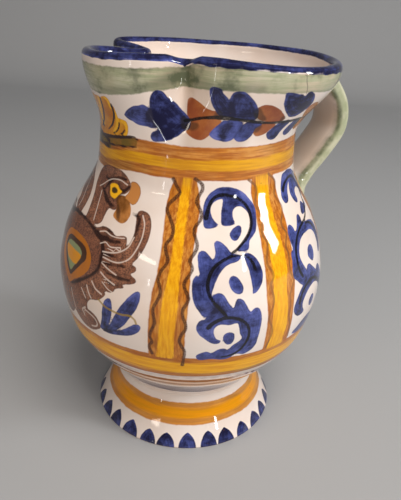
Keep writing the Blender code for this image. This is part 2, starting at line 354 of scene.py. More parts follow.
# Scroll panel: leaves as outlines, stems as strokes, in (degrees, millimetres up)
SCROLL_LEAVES = (
    ((252.6, 130), (252.4, 134), (252.8, 137), (254.7, 140.6), (258, 143), (260.5, 144), (264, 144.1),
     (268, 143.6), (272, 142.2), (275, 140.2), (277.6, 137.5), (279.2, 135), (279.2, 132), (278.4, 129),
     (277.2, 126.2), (275, 124.2), (273, 122.6), (272.3, 120), (270.8, 119.1), (267, 119.4), (267.6, 121),
     (270.8, 123.4), (274.2, 127), (275.3, 130), (275.1, 132.3), (273.6, 134.5), (271.3, 135.8),
     (268.5, 135.7), (267, 134.2), (266.8, 131.5), (267.7, 129.8), (266, 128.9), (263.3, 128.8),
     (261.2, 129.3), (260.9, 131.3), (261.4, 135), (262.3, 139), (259, 138.6), (256.7, 137),
     (256.1, 134.4), (257.2, 131.6), (259.4, 129.4), (257.6, 128.3), (255, 128), (253.2, 128.4)),
    ((264.2, 125.4), (265.4, 127.2), (267.8, 128.6), (269.8, 128.6), (270.2, 127), (269.1, 124.9),
     (267.3, 123.4), (265.4, 123.5)),
    ((264.5, 118.9), (262.4, 121.4), (260.2, 123.2), (258, 123.6), (257.2, 122.3), (257.8, 119.3),
     (256.8, 116.7), (255.3, 118.2), (253.4, 119.8), (251.4, 119.8), (250.6, 118), (250.9, 114),
     (251.5, 110.4), (249.9, 110.1), (248.9, 107.5), (249, 103), (250, 98.5), (251.9, 95), (254.2, 92.4),
     (258.5, 94.5), (262.3, 94.6), (259.6, 97.2), (257.4, 100), (256.4, 102.6), (256.9, 105), (258, 108.5),
     (260, 112), (262.6, 114.3), (266.8, 115.4), (268.5, 117.5)),
    ((269.4, 117.6), (271.5, 118.3), (273.6, 117.2), (275.5, 115), (276.9, 112), (277.3, 109),
     (276.8, 105.5), (275.3, 102.6), (273.6, 101.2), (272.5, 101.2), (272.4, 104), (271.9, 108),
     (271.1, 112), (270.2, 115)),
    ((262.8, 107.2), (263.2, 109.2), (264.5, 110), (266.2, 109.1), (267.8, 107), (268.7, 104.4),
     (268.2, 102.3), (266.8, 101.8), (264.9, 102.8), (263.4, 105)),
    ((254.4, 91.8), (252.3, 90.9), (251.2, 88.5), (251.4, 86), (252.6, 83.5), (254.5, 81.4), (257, 79),
     (259, 78.2), (260.6, 79), (260.4, 80.3), (258.9, 81.2), (257.9, 83.6), (257.7, 86), (258.7, 88),
     (260.6, 88.6), (263.5, 88), (266.4, 88.6), (267.3, 86.4), (267.9, 83), (269, 80.4), (268.2, 78.8),
     (266, 77), (264, 74.4), (262.3, 75.3), (260.2, 74.9), (257.7, 73), (255.8, 74), (253.6, 73.1),
     (252, 71.6), (252.2, 69.6), (254, 68.6), (258, 69.2), (262, 68.3), (265, 68.7), (267.6, 70.8),
     (271, 70), (274, 71.4), (275.8, 74.5), (276.2, 78), (276.6, 84), (276.6, 89), (275.9, 92.8),
     (274.5, 94.6), (272.9, 94.3), (271.6, 93.2), (269.8, 96.8), (268.6, 99), (267, 100), (265.7, 99.5),
     (265.2, 97.5), (264.6, 96.1), (262.9, 98.5), (261.6, 101), (260, 102.9), (258, 103), (256.9, 101.8),
     (257.6, 98.4), (256.5, 95)),
    ((261.4, 81.8), (262.1, 83.7), (263.8, 84.3), (265.6, 83.3), (265.9, 80.6), (265.5, 78.2), (264, 77.2),
     (262.3, 78.6)),
)
SCROLL_STEMS = (
    ((253.9, 132, 1.1), (254.8, 135, 0.9), (256.3, 138, 0.8), (258.6, 140.1, 0.75), (262, 140.8, 0.75),
     (266, 140.4, 0.7), (270, 139.2, 0.7), (273.3, 137.2, 0.75), (275.2, 134.8, 0.8), (275.9, 132, 0.8),
     (275.7, 129.4, 0.8), (274.6, 127, 0.75), (272.4, 124.4, 0.75), (269.5, 122, 0.7), (266.8, 119.9, 0.6),
     (264.2, 118.6, 0.5)),
    ((274.2, 111, 0.6), (273.4, 114, 0.75), (271.6, 116.4, 0.6), (269, 117.6, 0.45), (265, 117.6, 0.6),
     (261, 116.3, 0.7), (257.6, 114, 0.8), (255.6, 111, 0.85), (254.7, 107, 0.85), (255.2, 103, 0.8),
     (256.6, 100, 0.75), (258.6, 97.2, 0.7), (260.6, 94.6, 0.8), (261.7, 93, 0.9)),
    ((255.6, 87.4, 1.1), (257, 89.4, 0.95), (259.5, 91, 0.85), (262.6, 91.7, 0.8), (266, 91, 0.8),
     (269, 89, 0.75), (271, 86, 0.75), (271.8, 82.5, 0.75), (271.6, 79, 0.75), (270.5, 75.6, 0.75),
     (268.4, 72.5, 0.7), (265.6, 70.6, 0.6), (262, 70.1, 0.45)),
)

# Second scroll panel, drawn wider
WIDE_SCROLL_LEAVES = (
    ((303, 145), (306, 145.9), (310, 146.3), (315, 145.5), (320, 143.6), (324, 141.5), (326.5, 138),
     (327, 134), (325.6, 130), (322, 127.4), (318.6, 129.6), (315.5, 128.6), (312.8, 126), (314.5, 124.8),
     (319, 125), (323.5, 126.6), (325, 129.5), (324.6, 133), (321, 135.7), (316.6, 135.6), (314.8, 133.8),
     (315.4, 131.6), (314, 130.3), (311.6, 130.9), (309, 134), (309.2, 137), (311, 140.3), (308.4, 138.9),
     (306.2, 136.4), (305, 133.8), (303, 132.7), (300.8, 133), (299.5, 135.2), (300.3, 138.5), (302, 142)),
    ((309.7, 122.6), (309.8, 124.8), (308.9, 126.3), (306.8, 126.2), (304.6, 124), (302, 121.6),
     (300.5, 121.3), (300, 123), (298.5, 124.5), (296.5, 124.3), (295.1, 122), (295.2, 118), (295.7, 115),
     (294, 113.8), (293.5, 110), (292.9, 106), (293.2, 103), (295.6, 100.3), (299, 97.2), (303, 97.5),
     (303.2, 102), (301.8, 105), (300.2, 107.6), (299.3, 110.6), (300.1, 113.6), (302, 116), (305, 117.6),
     (309, 118), (315, 117.6), (318.6, 115.6), (320.3, 112.6), (320.4, 109), (319.2, 105.4),
     (321.5, 104.2), (324.6, 106.5), (326.4, 111), (325.6, 116), (322, 119.8), (316, 121.6)),
    ((306, 109), (307, 111.3), (309, 112.3), (311.3, 111.8), (312.4, 109.5), (312, 106.2), (310.4, 104.4),
     (308.6, 105.3), (306.8, 107)),
    ((299.6, 97), (297, 94.4), (295, 91), (293.7, 87.5), (294.4, 84.4), (296.5, 82), (299, 80.8),
     (301.4, 81.2), (302, 82.3), (300.9, 84), (300, 86.5), (300.6, 89), (302.5, 91.4), (305, 93),
     (308.5, 93.8), (312, 93), (315.6, 90.3), (318, 86.5), (318.6, 82), (317, 78), (314, 75.8),
     (309, 76.2), (304.6, 75.8), (300.6, 73.8), (297, 71.4), (299.6, 69.6), (304, 68.6), (310, 68.8),
     (316, 69.6), (321, 72.6), (323.8, 78), (324.6, 84), (323.4, 90), (321, 94.6), (318, 98.6),
     (316, 100.4), (314.2, 100.3), (313.1, 98.8), (310.4, 101), (308, 103.2), (306, 104.7), (304, 104.4),
     (303, 102.2), (302.6, 99.4)),
    ((305.6, 84.6), (306.6, 87.2), (308.6, 88), (310.6, 86.6), (311, 84), (309.6, 81.6), (307.4, 82)),
)
WIDE_SCROLL_STEMS = (
    ((302.3, 138.2, 1.1), (305, 140.2, 0.95), (308, 141.6, 0.8), (311.5, 142.3, 0.75), (316, 142, 0.7),
     (320, 140.6, 0.7), (323.2, 137.6, 0.7), (324.4, 133.6, 0.7), (323.4, 129.6, 0.7),
     (320.6, 126.4, 0.65), (316.6, 124, 0.65), (312, 122.7, 0.65), (308, 122, 0.65), (304.4, 120.9, 0.75),
     (301, 118.8, 0.8), (298.5, 115.8, 0.8), (297.1, 112, 0.85), (297, 108, 0.85), (298, 104, 0.8),
     (300, 100.8, 0.8)),
    ((312.4, 121.4, 0.6), (317, 120.2, 0.7), (321, 117.6, 0.75), (323.2, 113.6, 0.7), (323, 109.6, 0.5)),
    ((297.5, 88.6, 1.15), (298.1, 91.4, 0.95), (300, 94.2, 0.85), (303, 96.2, 0.8), (306.4, 96.7, 0.75),
     (310, 96, 0.75), (314, 93.4, 0.75), (318, 89.4, 0.75), (320.6, 84.6, 0.75), (320.6, 79.4, 0.75),
     (318, 74.6, 0.7), (313, 71.6, 0.6)),
)

# Frieze round the neck. The blue shapes come with how much paint they hold, to which a little is added, and
# the last three stand once more further round, without it.
FRIEZE_LOAD = 0.2
BACK_BUDS_TURN = 42.0
FRIEZE_BLUE = (
    (((207.8, 170), (209, 171.6), (211, 173.2), (214, 174.7), (217, 175.3), (218.6, 175.8), (220.4, 175.6),
      (222.4, 174.6), (227, 173), (231, 170), (228, 167.4), (224, 166.6), (221, 167), (217, 167),
      (213, 168), (210, 168.8)), 0.6),
    (((222.3, 175), (222.3, 178), (223, 180.3), (224.6, 181.8), (226.6, 182), (228.6, 181.2),
      (230.6, 179.4), (233, 178), (235.2, 176.8), (238, 174.8), (241, 173.4), (243.6, 171.6), (244.2, 169),
      (242.8, 167.4), (240.6, 166.6), (238.6, 165), (235.6, 163.7), (232, 163), (229, 165.6),
      (224.6, 168.6), (221, 171)), 0.85),
    (((236, 163.8), (232, 162.2), (228, 161.4), (225, 161.3), (223.5, 162.5), (223.6, 164), (225.3, 165.5),
      (229, 166.6), (234, 167)), 0.7),
    (((252.7, 184), (253.6, 185.2), (256, 185.3), (258.3, 184.6), (259, 183.2), (260.9, 181.8),
      (263.2, 179.6), (265.2, 176.6), (265, 174), (258.4, 174), (255.6, 176.5), (253.9, 179), (253, 181.6)),
     1.1),
    (((262.5, 181.6), (264, 183.8), (266.5, 184.3), (269.2, 183.8), (272, 182), (274.6, 179.4),
      (276.3, 176.8), (277, 173.6), (274, 172.4), (264, 173), (262.6, 177)), 0.95),
    (((253.7, 166.4), (255.5, 168.6), (258, 170.6), (261, 172.4), (265, 171), (264, 166.6), (261, 163.8),
      (258, 164), (255, 165)), 0.25),
    (((258, 165.6), (259.4, 169), (262.6, 172.4), (268, 172.4), (270.3, 171), (269.6, 168.6),
      (267.4, 165.6), (264.8, 163.8), (262, 163.3), (259.4, 163.9)), 0.4),
    (((266.5, 165), (268.5, 168), (271, 171), (274, 172.2), (279, 171.5), (280.6, 170.4), (277.6, 168.6),
      (276.4, 166), (274, 164), (271.4, 163.2), (268.4, 163.5)), 0.5),
    (((286.2, 184), (289, 184.2), (292, 183.5), (294.6, 183.2), (295.8, 182.2), (297, 184), (299.2, 184),
      (301.6, 182.8), (303.6, 180.5), (305, 178.4), (304.6, 176.4), (303.4, 174.8), (301, 173.2),
      (298, 172.7), (294.5, 173), (292, 174.5), (289.5, 176.5), (287.3, 179), (286.6, 181.5)), 1.0),
    (((285, 166), (287, 168), (290, 170.2), (295, 171.4), (298.6, 170.6), (297, 168.5), (295.2, 166.4),
      (293.5, 163.8), (291.6, 162.7), (289, 162.7), (286.5, 163.7)), 0.85),
    (((297.5, 165.5), (299, 167.5), (301.5, 170.2), (305, 171.4), (309, 170.8), (308, 168), (306, 165.5),
      (304, 164), (301.5, 163.5), (299, 164)), 0.9),
)
FRIEZE_RUST = (
    ((241.2, 177.8), (242, 179.5), (243.6, 180), (246, 179.5), (249, 178.2), (252, 176.7), (255, 176),
     (258, 176), (259.5, 175), (259.4, 173), (255, 172.4), (248, 171.6), (243, 171.4), (241.6, 174.4)),
    ((241.5, 167.4), (243.5, 165.5), (246, 164.3), (248.6, 163.8), (251.2, 164.3), (253.6, 165.8),
     (255.6, 167.5), (257.6, 169.5), (259.5, 172), (255, 172.9), (248, 171.8), (243, 170.8)),
    ((274.4, 176.4), (276.5, 178.3), (279, 179), (282, 178.8), (286, 177.3), (289.5, 175), (292, 173.2),
     (292.6, 172), (290, 171.1), (280, 172), (276, 174)),
    ((276, 168.2), (278, 170.2), (282, 171.3), (287, 170.7), (289, 169.3), (286.5, 167.5), (284.5, 166.1),
     (281.5, 165.3), (279, 165.2), (277, 166.3)),
    ((304.6, 175.6), (306, 177.8), (309, 178.4), (313, 177.4), (317, 175.6), (320, 173.2), (316, 171.4),
     (308, 171.4)),
    ((306, 167), (309, 169.7), (314, 170.4), (319, 168.6), (316, 166), (311, 165), (308, 165.4)),
)
FRIEZE_STAINS = (
    ((274.6, 176.6), (276.4, 178), (278.2, 176.6), (280, 174.4), (282, 172.4), (278, 171.8), (275.4, 173.6)),
    ((276, 168.2), (277.8, 170), (280.6, 170.4), (280, 168), (278, 166.6)),
    ((256.4, 176), (258.6, 176.2), (259.7, 175), (259.6, 173), (255.6, 173)),
    ((243.4, 170.8), (245, 170.8), (248, 170.2), (247.4, 168), (244, 167.6)),
    ((238.4, 172), (241.6, 172.4), (244.4, 171.2), (244.8, 169), (243, 167.4), (240.2, 167.6),
     (238.8, 169.6)),
    ((290, 173.4), (292, 173.4), (292.9, 172.2), (290.4, 171.2)),
)
FRIEZE_STEM = (
    (241, 170.9, 0.8), (245, 171.7, 0.75), (249, 172.6, 0.65), (253, 173.1, 0.75), (258, 173.4, 1.0),
    (262, 173.2, 1.0), (266, 172.9, 0.8), (270, 172.5, 0.7), (275, 171.8, 0.75), (280, 171.3, 0.8),
    (286, 170.9, 0.65), (292, 170.8, 0.75), (300, 170.7, 0.8), (308, 170.8, 0.7), (316, 170.4, 0.6))

# Eagle under the spout: the half that is drawn, turned over for the other half
EAGLE_AXIS = 188.0
# How many degrees further out the second head's inner and outer sides lean
INNER_LEAN = 22.0
OUTER_LEAN = 15.0
EAGLE_BROWN = (
    ((182.8, 139), (184.5, 141.7), (188, 143.8), (192, 145), (197, 145.4), (203, 145.5), (207, 144.8),
     (210.6, 143), (213, 140.6), (213.1, 138.3), (211, 136.4), (208.4, 135.6), (206.8, 134),
     (208.4, 132.2), (209.2, 130), (207.4, 128.8), (204, 128.7), (203.5, 125.4), (203.2, 122.6),
     (200, 121), (192, 120.6), (190.6, 124), (188.8, 128), (186.4, 132), (184, 135.4)),
    ((177, 121.4), (184, 121.4), (192, 121.2), (200, 120.2), (203, 120.6), (205.4, 121.8), (208, 122),
     (211, 121.4), (214.4, 120.3), (217, 121), (219.4, 121), (220.3, 119.3), (220.6, 117.6), (222.4, 114),
     (224.6, 111.4), (226.6, 110.4), (226.8, 108.7), (224.8, 107.1), (227, 105.7), (227.4, 104.1),
     (225.2, 102.7), (222.2, 101.9), (222.4, 100.3), (219.2, 98.9), (218.4, 97.2), (216, 96.3),
     (213.6, 96.6), (214.8, 94.9), (213.4, 92.4), (211, 90.3), (208, 89.4), (206.2, 87.8), (205.2, 85.4),
     (205.4, 83), (207.6, 82.6), (209.8, 81.3), (211.6, 78.6), (212, 76), (209.4, 73.4), (206, 71.5),
     (202.4, 71.3), (199, 72.5), (196, 75), (193, 78), (188, 72), (182, 76), (176, 90), (172, 106)),
    ((218.4, 113.6), (220.4, 116.6), (221.8, 119.4), (222.5, 122.5), (222.1, 126), (221.2, 129.4),
     (221.6, 131.4), (224, 132), (227, 131.2), (229, 128.5), (229.8, 125), (229.5, 121.4), (228.2, 117.4),
     (226.4, 113.8), (223, 110.6)),
)
EAGLE_DARK = (
    ((180, 120.6, 0.6), (188, 120.8, 0.8), (196, 120.2, 0.8), (202, 118.6, 1.0), (206, 117.4, 1.3),
     (209.6, 117.8, 1.2), (213, 117.6, 0.9), (217, 118.4, 0.6)),
    ((203.6, 119, 0.6), (207, 116.6, 0.9), (209.4, 113.4, 1.1), (209.9, 109, 0.9), (209.6, 105, 0.8),
     (208, 102.4, 0.7), (205.4, 99.6, 0.7), (201.6, 96.4, 0.8), (197.4, 93.2, 0.8), (193.6, 90.6, 0.7)),
    ((210, 111.4, 0.9), (214, 112, 0.7), (218, 112.4, 0.5)),
    ((219, 130, 0.3), (222.6, 129, 0.9), (223.4, 125, 0.7), (223.2, 121, 0.4)),
    ((205.5, 121.3, 0.5), (209, 121.4, 0.5), (213.4, 120.2, 0.4)),
    ((210.5, 108, 0.6), (216, 108.6, 0.5), (222, 109.6, 0.6)),
    ((212, 105.4, 0.4), (218, 104, 0.7), (224.6, 104.4, 0.7)),
    ((213, 101.4, 0.4), (217, 100.4, 0.5), (220.4, 100.4, 0.4)),
    ((192, 139.6, 0.6), (197, 139.4, 0.9), (203, 141.6, 0.7), (209.6, 142, 0.6)),
    ((207.6, 133.4, 0.8), (210.4, 131.6, 1.0), (211.6, 128.6, 0.9), (209.8, 127, 0.5)),
    ((206.5, 136.8, 0.6), (209.8, 137.4, 0.9), (212.2, 139.4, 0.8)),
    ((189.6, 135.8, 0.3), (194, 134.8, 0.7), (197.4, 132.9, 1.0), (200.6, 131.4, 1.1), (204, 130.4, 0.9),
     (206.6, 130, 0.6)),
    ((195.4, 135.4, 0.4), (196.6, 138, 0.8), (199, 139.2, 0.5)),
)
EAGLE_SCRATCHES = (
    (((190.2, 135.2), (192.2, 136.4), (195, 138.4), (199, 140.1), (205, 141), (210, 140.2)), 0.32),
    (((193.4, 133.0), (194.8, 129.4), (196.4, 126), (197.6, 122.8)), 0.34),
    (((205.4, 119.6), (208.2, 120.4), (211.4, 119.7), (215, 119.7), (218, 120.2)), 0.3),
    (((207.8, 115.4), (210, 116.4), (213, 115.3), (217.4, 116.2)), 0.32),
    (((210.4, 112.5), (214, 113.2), (218, 114.6), (221.4, 117.4), (222.8, 121)), 0.34),
    (((211.4, 110.3), (216, 110), (219.4, 110.6), (223, 113), (225.2, 117), (226.6, 122), (226.2, 127),
      (224.6, 129.6)), 0.34),
    (((211.4, 107.6), (214.2, 106.4), (218, 105.2)), 0.36),
    (((211.6, 103.4), (214, 102), (217.8, 100.7)), 0.4),
    (((207.6, 97.4), (209.6, 95.4), (212.4, 94.3)), 0.42),
    (((213, 99.4), (215.6, 97.6), (217.6, 97)), 0.26),
    (((204.9, 94.2), (206, 92), (207.2, 90.4)), 0.4),
    (((201.8, 91.6), (203, 90.2), (204, 88.9)), 0.36),
    (((203.2, 82.6), (201.4, 80.6), (202.2, 78.4)), 0.38),
    (((203.6, 81.4), (206.6, 80.7), (209.2, 79.4), (210.2, 77), (209, 75), (207, 74.2)), 0.42),
    (((193.6, 87), (194.6, 82), (195.4, 78)), 0.3),
)
SHIELD_BORDER = (
    (178.6, 108), (180, 111.4), (183, 113), (190, 113.9), (197, 113.2), (201, 111.4), (204, 108.4),
    (204.8, 105.4), (204, 101.8), (200.6, 97.4), (196, 93.8), (191.6, 90.2), (187, 93), (182.4, 97),
    (179, 101.4), (178.2, 105))
SHIELD_DARK = (
    (181.6, 107.6), (183, 109.8), (186, 111), (194, 111.2), (199, 110.4), (201.2, 108), (201.2, 105.2),
    (199, 102.4), (196.4, 99), (194, 96), (191.6, 94), (188, 96.4), (184.6, 99.6), (182.2, 103.4))
SHIELD_GREEN = (
    (183.6, 106.8), (185.4, 108.5), (190, 109), (195.6, 108.6), (198, 106.6), (196.6, 103.4), (194, 99.6),
    (191.4, 96.2), (188.4, 98.6), (185.4, 101.6), (183.8, 104.6))
SHIELD_YELLOW = (
    (183.4, 104.4), (184.4, 106.2), (191, 106.3), (197.6, 105.9), (196.2, 102.4), (194, 100.3), (187, 101))
EYE = (
    (198.4, 137.7), (201, 138.8), (204, 138.6), (206.6, 137.3), (208.6, 136.7), (206.8, 135),
    (205.6, 133.1), (203, 133.3), (200.8, 134.2), (199.4, 136))
PUPIL = ((200.6, 136.4), (202.2, 137.4), (204.6, 137), (205.6, 135.9), (203.6, 135), (201.6, 135.2))
BEAK_UPPER = (
    (211.4, 135), (212.8, 137.4), (213.2, 140.4), (212.2, 141.6), (214, 142.2), (216.6, 142),
    (218.8, 140.8), (220, 138.4), (219.9, 136), (219, 133.9), (217, 133.1), (214, 134))
BEAK_LOWER = (
    (207.4, 135), (212, 135.4), (215.6, 133.5), (217.4, 130.5), (217.5, 128), (216.4, 126), (214.4, 125.3),
    (211, 125.8), (208.2, 127.2), (208.6, 130), (206.8, 133))
BEAK_SHADOW = ((207.6, 132.6, 0.6), (209.4, 130.2, 1.0), (211.2, 127.8, 1.1), (212, 126.4, 0.7))
SPRIG = (
    ((211.8, 76), (213, 81), (213.5, 86), (214.1, 90), (215.1, 92.6), (216.7, 93.8), (218, 92.4),
     (218.4, 89), (218, 85), (216.6, 80), (214.6, 76)),
    ((214, 75.6), (217.4, 81), (219.2, 85.4), (221.2, 90.2), (224, 95.4), (226.4, 98.8), (228.4, 100.7),
     (229.7, 100), (229.7, 96.8), (228.4, 92), (226.4, 88), (224, 83.4), (220.4, 78.8), (217, 75.6)),
    ((212.6, 75.2), (217, 77.6), (222, 79.4), (225.8, 82.8), (228.4, 85), (230, 85), (230.5, 83.4),
     (229, 80.4), (226, 77.9), (221, 76), (216, 74.7)),
)
# How far the sprig is turned to stand under the handle
BACK_SPRIG_TURN = 128.0
SPRIG_LINE = ((212.4, 90.6), (215, 89), (219, 88.2), (223, 88), (226, 88.6), (228, 87.4), (228.6, 86))

# Crown on the neck over the eagle
CROWN_AXIS = 183.0
CROWN_LOBES = (
    ((196, 160), (200.6, 164), (202, 167.6), (203.6, 168), (206, 167.8), (208, 167.5), (209.2, 166),
     (209.2, 163.4), (208.4, 161.5), (206.4, 160.4), (202, 159.6)),
    ((188, 159.2), (194, 163), (197, 168), (199, 172.6), (200.7, 172.8), (201.8, 170.6), (202.6, 168),
     (203.6, 165.6), (201, 161), (196, 159)),
    ((178, 158), (185, 164), (188.6, 170), (191.4, 175), (194, 176), (196.4, 176.3), (198.3, 175.4),
     (199.4, 172.6), (199.6, 168), (196, 162), (190, 158.6)),
    ((176, 157), (174, 164), (174, 171), (178, 174.4), (183, 175), (188, 175.4), (190.4, 174.6),
     (189.4, 169), (186, 162), (182, 157.4)),
)
CROWN_YELLOW = (
    ((206, 160.6), (208.4, 162), (208.4, 165), (206.6, 167), (205, 167)),
    ((201.6, 170.4), (201.9, 167.6), (200.4, 163.6), (197.6, 161)),
    ((187.6, 174.4), (186, 170), (183.4, 166), (181, 163)),
    ((198.6, 172), (197.8, 175), (195.4, 176)),
)
CROWN_VEINS = (
    ((190.6, 174.6, 0.75), (189.6, 171, 0.8), (187.6, 167, 0.75), (184.6, 163.6, 0.65), (181.2, 161, 0.5)),
    ((199.4, 173.2, 0.75), (199.9, 170, 0.7), (198.6, 167, 0.65), (196.2, 164.2, 0.55), (193, 162.2, 0.45),
     (190.6, 161, 0.3)),
    ((202.8, 166, 0.5), (201.6, 163.4, 0.5), (199, 161.3, 0.45), (196.4, 160.3, 0.35)),
    ((206.6, 163.4, 0.4), (204.6, 161.6, 0.4), (201.8, 160.8, 0.35)),
)
CROWN_BASE = (
    (172, 152.8), (172, 155.8), (180, 156.6), (190, 157.8), (200, 159.3), (208, 160.6), (214, 161.4),
    (215.4, 159.4), (214.6, 157.4), (205, 156), (195, 155), (185, 153.6), (178, 152.9))
CROWN_BASE_LINES = (
    ((174, 156.2, 0.7), (185, 157.4, 0.75), (195, 158.5, 0.75), (205, 160, 0.7), (212.6, 161.2, 0.6),
     (216, 160.4, 0.35)),
    ((174, 152.7, 0.55), (185, 153.7, 0.6), (195, 155, 0.55), (205, 156, 0.5), (215, 157.4, 0.4)),
)

# Upright bands: (height, left edge, yellow's left, yellow's right, right edge), and the wavy lines over them
BAND_SHAPES = (
    ((70, 233.2, 236.4, 243.0, 247.2), (80, 233.3, 237.2, 243.4, 247.3), (90, 233.6, 237.8, 243.8, 247.6),
     (100, 234.0, 238.6, 244.0, 248.0), (110, 235.3, 239.7, 244.2, 248.2),
     (120, 235.7, 240.2, 244.5, 248.8), (130, 235.0, 240.3, 245.0, 250.4),
     (136, 234.6, 240.6, 245.4, 250.9), (142, 235.6, 241.0, 245.9, 250.2),
     (148, 238.4, 241.6, 246.4, 248.6)),
    ((70, 280.2, 282.6, 291.0, 294.2), (80, 279.8, 282.4, 290.6, 293.8), (90, 279.3, 282.0, 289.6, 293.2),
     (100, 278.6, 281.9, 289.1, 293.8), (110, 278.5, 282.0, 289.9, 294.6),
     (120, 278.5, 282.2, 289.7, 295.4), (130, 278.8, 282.4, 289.6, 297.0),
     (136, 278.6, 282.2, 289.8, 296.6), (142, 278.2, 281.8, 290.0, 296.2),
     (148, 279.0, 281.4, 290.0, 292.6)),
)
BAND_WAVES = (
    ((237.3, 146), (239.4, 143), (240.7, 141), (238.7, 139), (235.7, 136), (235.6, 133.5), (237.8, 130.4),
     (239.5, 127), (239.2, 124), (237.3, 121.2), (238, 118), (238.9, 115), (236.8, 111), (236, 107.4),
     (236.9, 104.6), (237.3, 101.4), (236.3, 98), (235.1, 94.4), (235.4, 91), (235.9, 87.6), (234.8, 84),
     (234.1, 80.4), (234.9, 77.4), (233.7, 74.4), (234.5, 71)),
    ((248.8, 147), (251.4, 145.4), (251.9, 143), (250.4, 140.6), (249.2, 138), (250.5, 136),
     (251.9, 133.2), (251.3, 131), (249.4, 129), (248.6, 127), (249.2, 125), (250.3, 121.6), (249, 118.6),
     (247.5, 116), (248.7, 113.2), (247.9, 110.8), (246.1, 107.6), (246.1, 105.2), (247.8, 101),
     (247.2, 98.2), (246, 95.4), (246.1, 92.4), (247.2, 89.2), (247.3, 86.2), (246, 83.2), (245.3, 80.2),
     (246.1, 77), (247.3, 74), (247.2, 70), (246.8, 65.6)),
    ((277.4, 146), (280.4, 144), (281.9, 142), (281, 139.2), (280, 137), (280.1, 135), (281.8, 132.6),
     (282.2, 130), (281, 127.2), (280, 125), (280.4, 123.4), (281.7, 121), (281.2, 118), (280.2, 115),
     (280.1, 111.8), (281.9, 109), (282.3, 106.4), (280.9, 104), (281.1, 101), (282, 97.4), (281.9, 94),
     (280.8, 91), (280, 87.6), (281, 84.8), (282.3, 82), (283, 78.2), (282.5, 74.4), (281.8, 71)),
    ((290.9, 147.2), (294, 145.2), (296, 143), (295.5, 140.6), (294.1, 138.2), (295.2, 136),
     (297.2, 132.6), (296.1, 129.8), (293.4, 127.2), (292.7, 125), (294.3, 122.4), (293, 120),
     (291.6, 117), (292.3, 113.6), (291.5, 109), (291.4, 106.2), (292.5, 104), (293.1, 101), (291.6, 98),
     (290.6, 95), (291.1, 92), (291.2, 89), (290.8, 86), (291.5, 83.2), (292.5, 80), (293.2, 76),
     (293.9, 72)),
)
# Each band's wavy lines: their layer and half width
BAND_LINES = (("line", 0.8), ("faint", 0.6))
# Where the two drawn bands are used: which one and how far it is turned. All are also turned over.
BODY_AXIS = 187.0
BAND_COPIES = ((0, 0.0), (1, 0.0), (0, 91.6))

# Rings round the jug: layer, heights of the lower and upper edge, and the wobble's seed and size
FOOT_RING = (10.5, 20.6)
BELLY_RING = (56.2, 69.6)
NECK_RING = (146.6, 161.0)
RINGS = (
    ("orange", FOOT_RING, 0.0, 0.35),
    ("amber", (13.2, 18.0), 0.6, 0.35),
    ("orange", BELLY_RING, 1.0, 0.35),
    ("amber", (59.2, 66.4), 1.6, 0.35),
    ("orange", NECK_RING, 2.0, 0.35),
    ("yellow", (150.9, 155.4), 2.6, 0.35),
    ("waist_ring", (30.4, 40.6), 2.4, 0.6),
    ("brown_ring", (49.0, 52.0), 3.1, 0.3),
    ("grey_ring", (44.4, 46.8), 4.0, 0.3),
)
NECK_RING_DIP = 3.4
DAB_COUNT = 28
DAB_START = 251.8
DAB_HEIGHT = 7.0
DABS_BELOW = 12.0
# The angle at which the two tables of the lip begin
TABLE_START = 176.0
# Lower edge of the lip's cobalt (degrees, millimetres up)
LIP_BLUE_EDGE = (
    (176, 191.8), (200, 192.0), (220, 193.5), (233, 193.2), (237.5, 190.6), (242, 193.0), (255, 192.5),
    (290, 192.0), (300, 191.0), (312, 190.2), (330, 189.6), (360, 189.8), (400, 190.0), (440, 190.0),
    (470, 189.5), (500, 189.5), (520, 190.5), (536, 191.8))
# How far the cobalt reaches down inside, there and in the spout, and the angles over which the spout sets in
LIP_BLUE_INSIDE = 2.1
SPOUT_BLUE_INSIDE = 14.0
SPOUT_START = (119.0, 127.0)
SPOUT_END = (238.0, 234.0)
# The green wash: degrees, and millimetres up to its lower and upper edge
GREEN_HEIGHTS = (
    (176, 177.2, 188.6), (190, 177.0, 188.9), (200, 177.4, 189.2), (210, 178.8, 189.6), (220, 180.4, 190.2),
    (230, 182.2, 190.8), (237, 183.0, 190.4), (244, 183.2, 192.6), (260, 184.0, 193.4), (280, 184.0, 193.0),
    (300, 183.6, 192.0), (320, 182.6, 190.6), (345, 182.2, 190.4), (375, 182.2, 190.4), (400, 183.0, 191.0),
    (420, 183.6, 192.0), (445, 183.4, 192.0), (478, 182.6, 190.6), (485, 181.0, 189.6), (500, 179.6, 189.2),
    (520, 177.8, 188.8))

# Painted shade: warm darker strokes down the valley under the near fold, where the neck lies in shadow
FOLD_SHADE_STROKES = (
    ((245, 190, 5), (248, 180, 7), (252, 170, 10), (254, 160, 11)),
    ((262, 188, 5), (266, 176, 5), (268, 164, 5)),
)
# Lines along which the green has run together
GREEN_POOLS = (
    ((196, 179, 0.6), (206, 180.4, 1.0), (216, 182, 1.4), (226, 184.4, 2.2), (233, 186.4, 2.8),
     (238, 186.6, 2.4), (243, 186, 2.0), (250, 185.6, 1.4), (262, 185.4, 1.2), (276, 185.6, 0.8)),
    ((120, 182, 1.0), (124, 184.6, 2.0), (129, 186.4, 2.6), (136, 184.6, 2.0), (146, 181.4, 1.0)),
)
# A crack in the glaze under the lip
CRACK = ((293.4, 192.0), (293.9, 188.6), (295.0, 186.4), (295.8, 184.0))


def wobble(angle, seed, size):
    """The unsteady hand: three sines round the jug with phases from the seed."""
    turn = np.radians(angle)
    waves = np.sin(3 * turn + seed) + 0.6 * np.sin(8 * turn + 2.3 * seed)
    return size * (waves + 0.4 * np.sin(19 * turn + 5.1 * seed)) / 2


def from_axis(axis):
    """Degrees from an angle to each corner of the grid, between -180 and 180."""
    return np.mod(ANGLE - axis + 180.0, 360.0) - 180.0


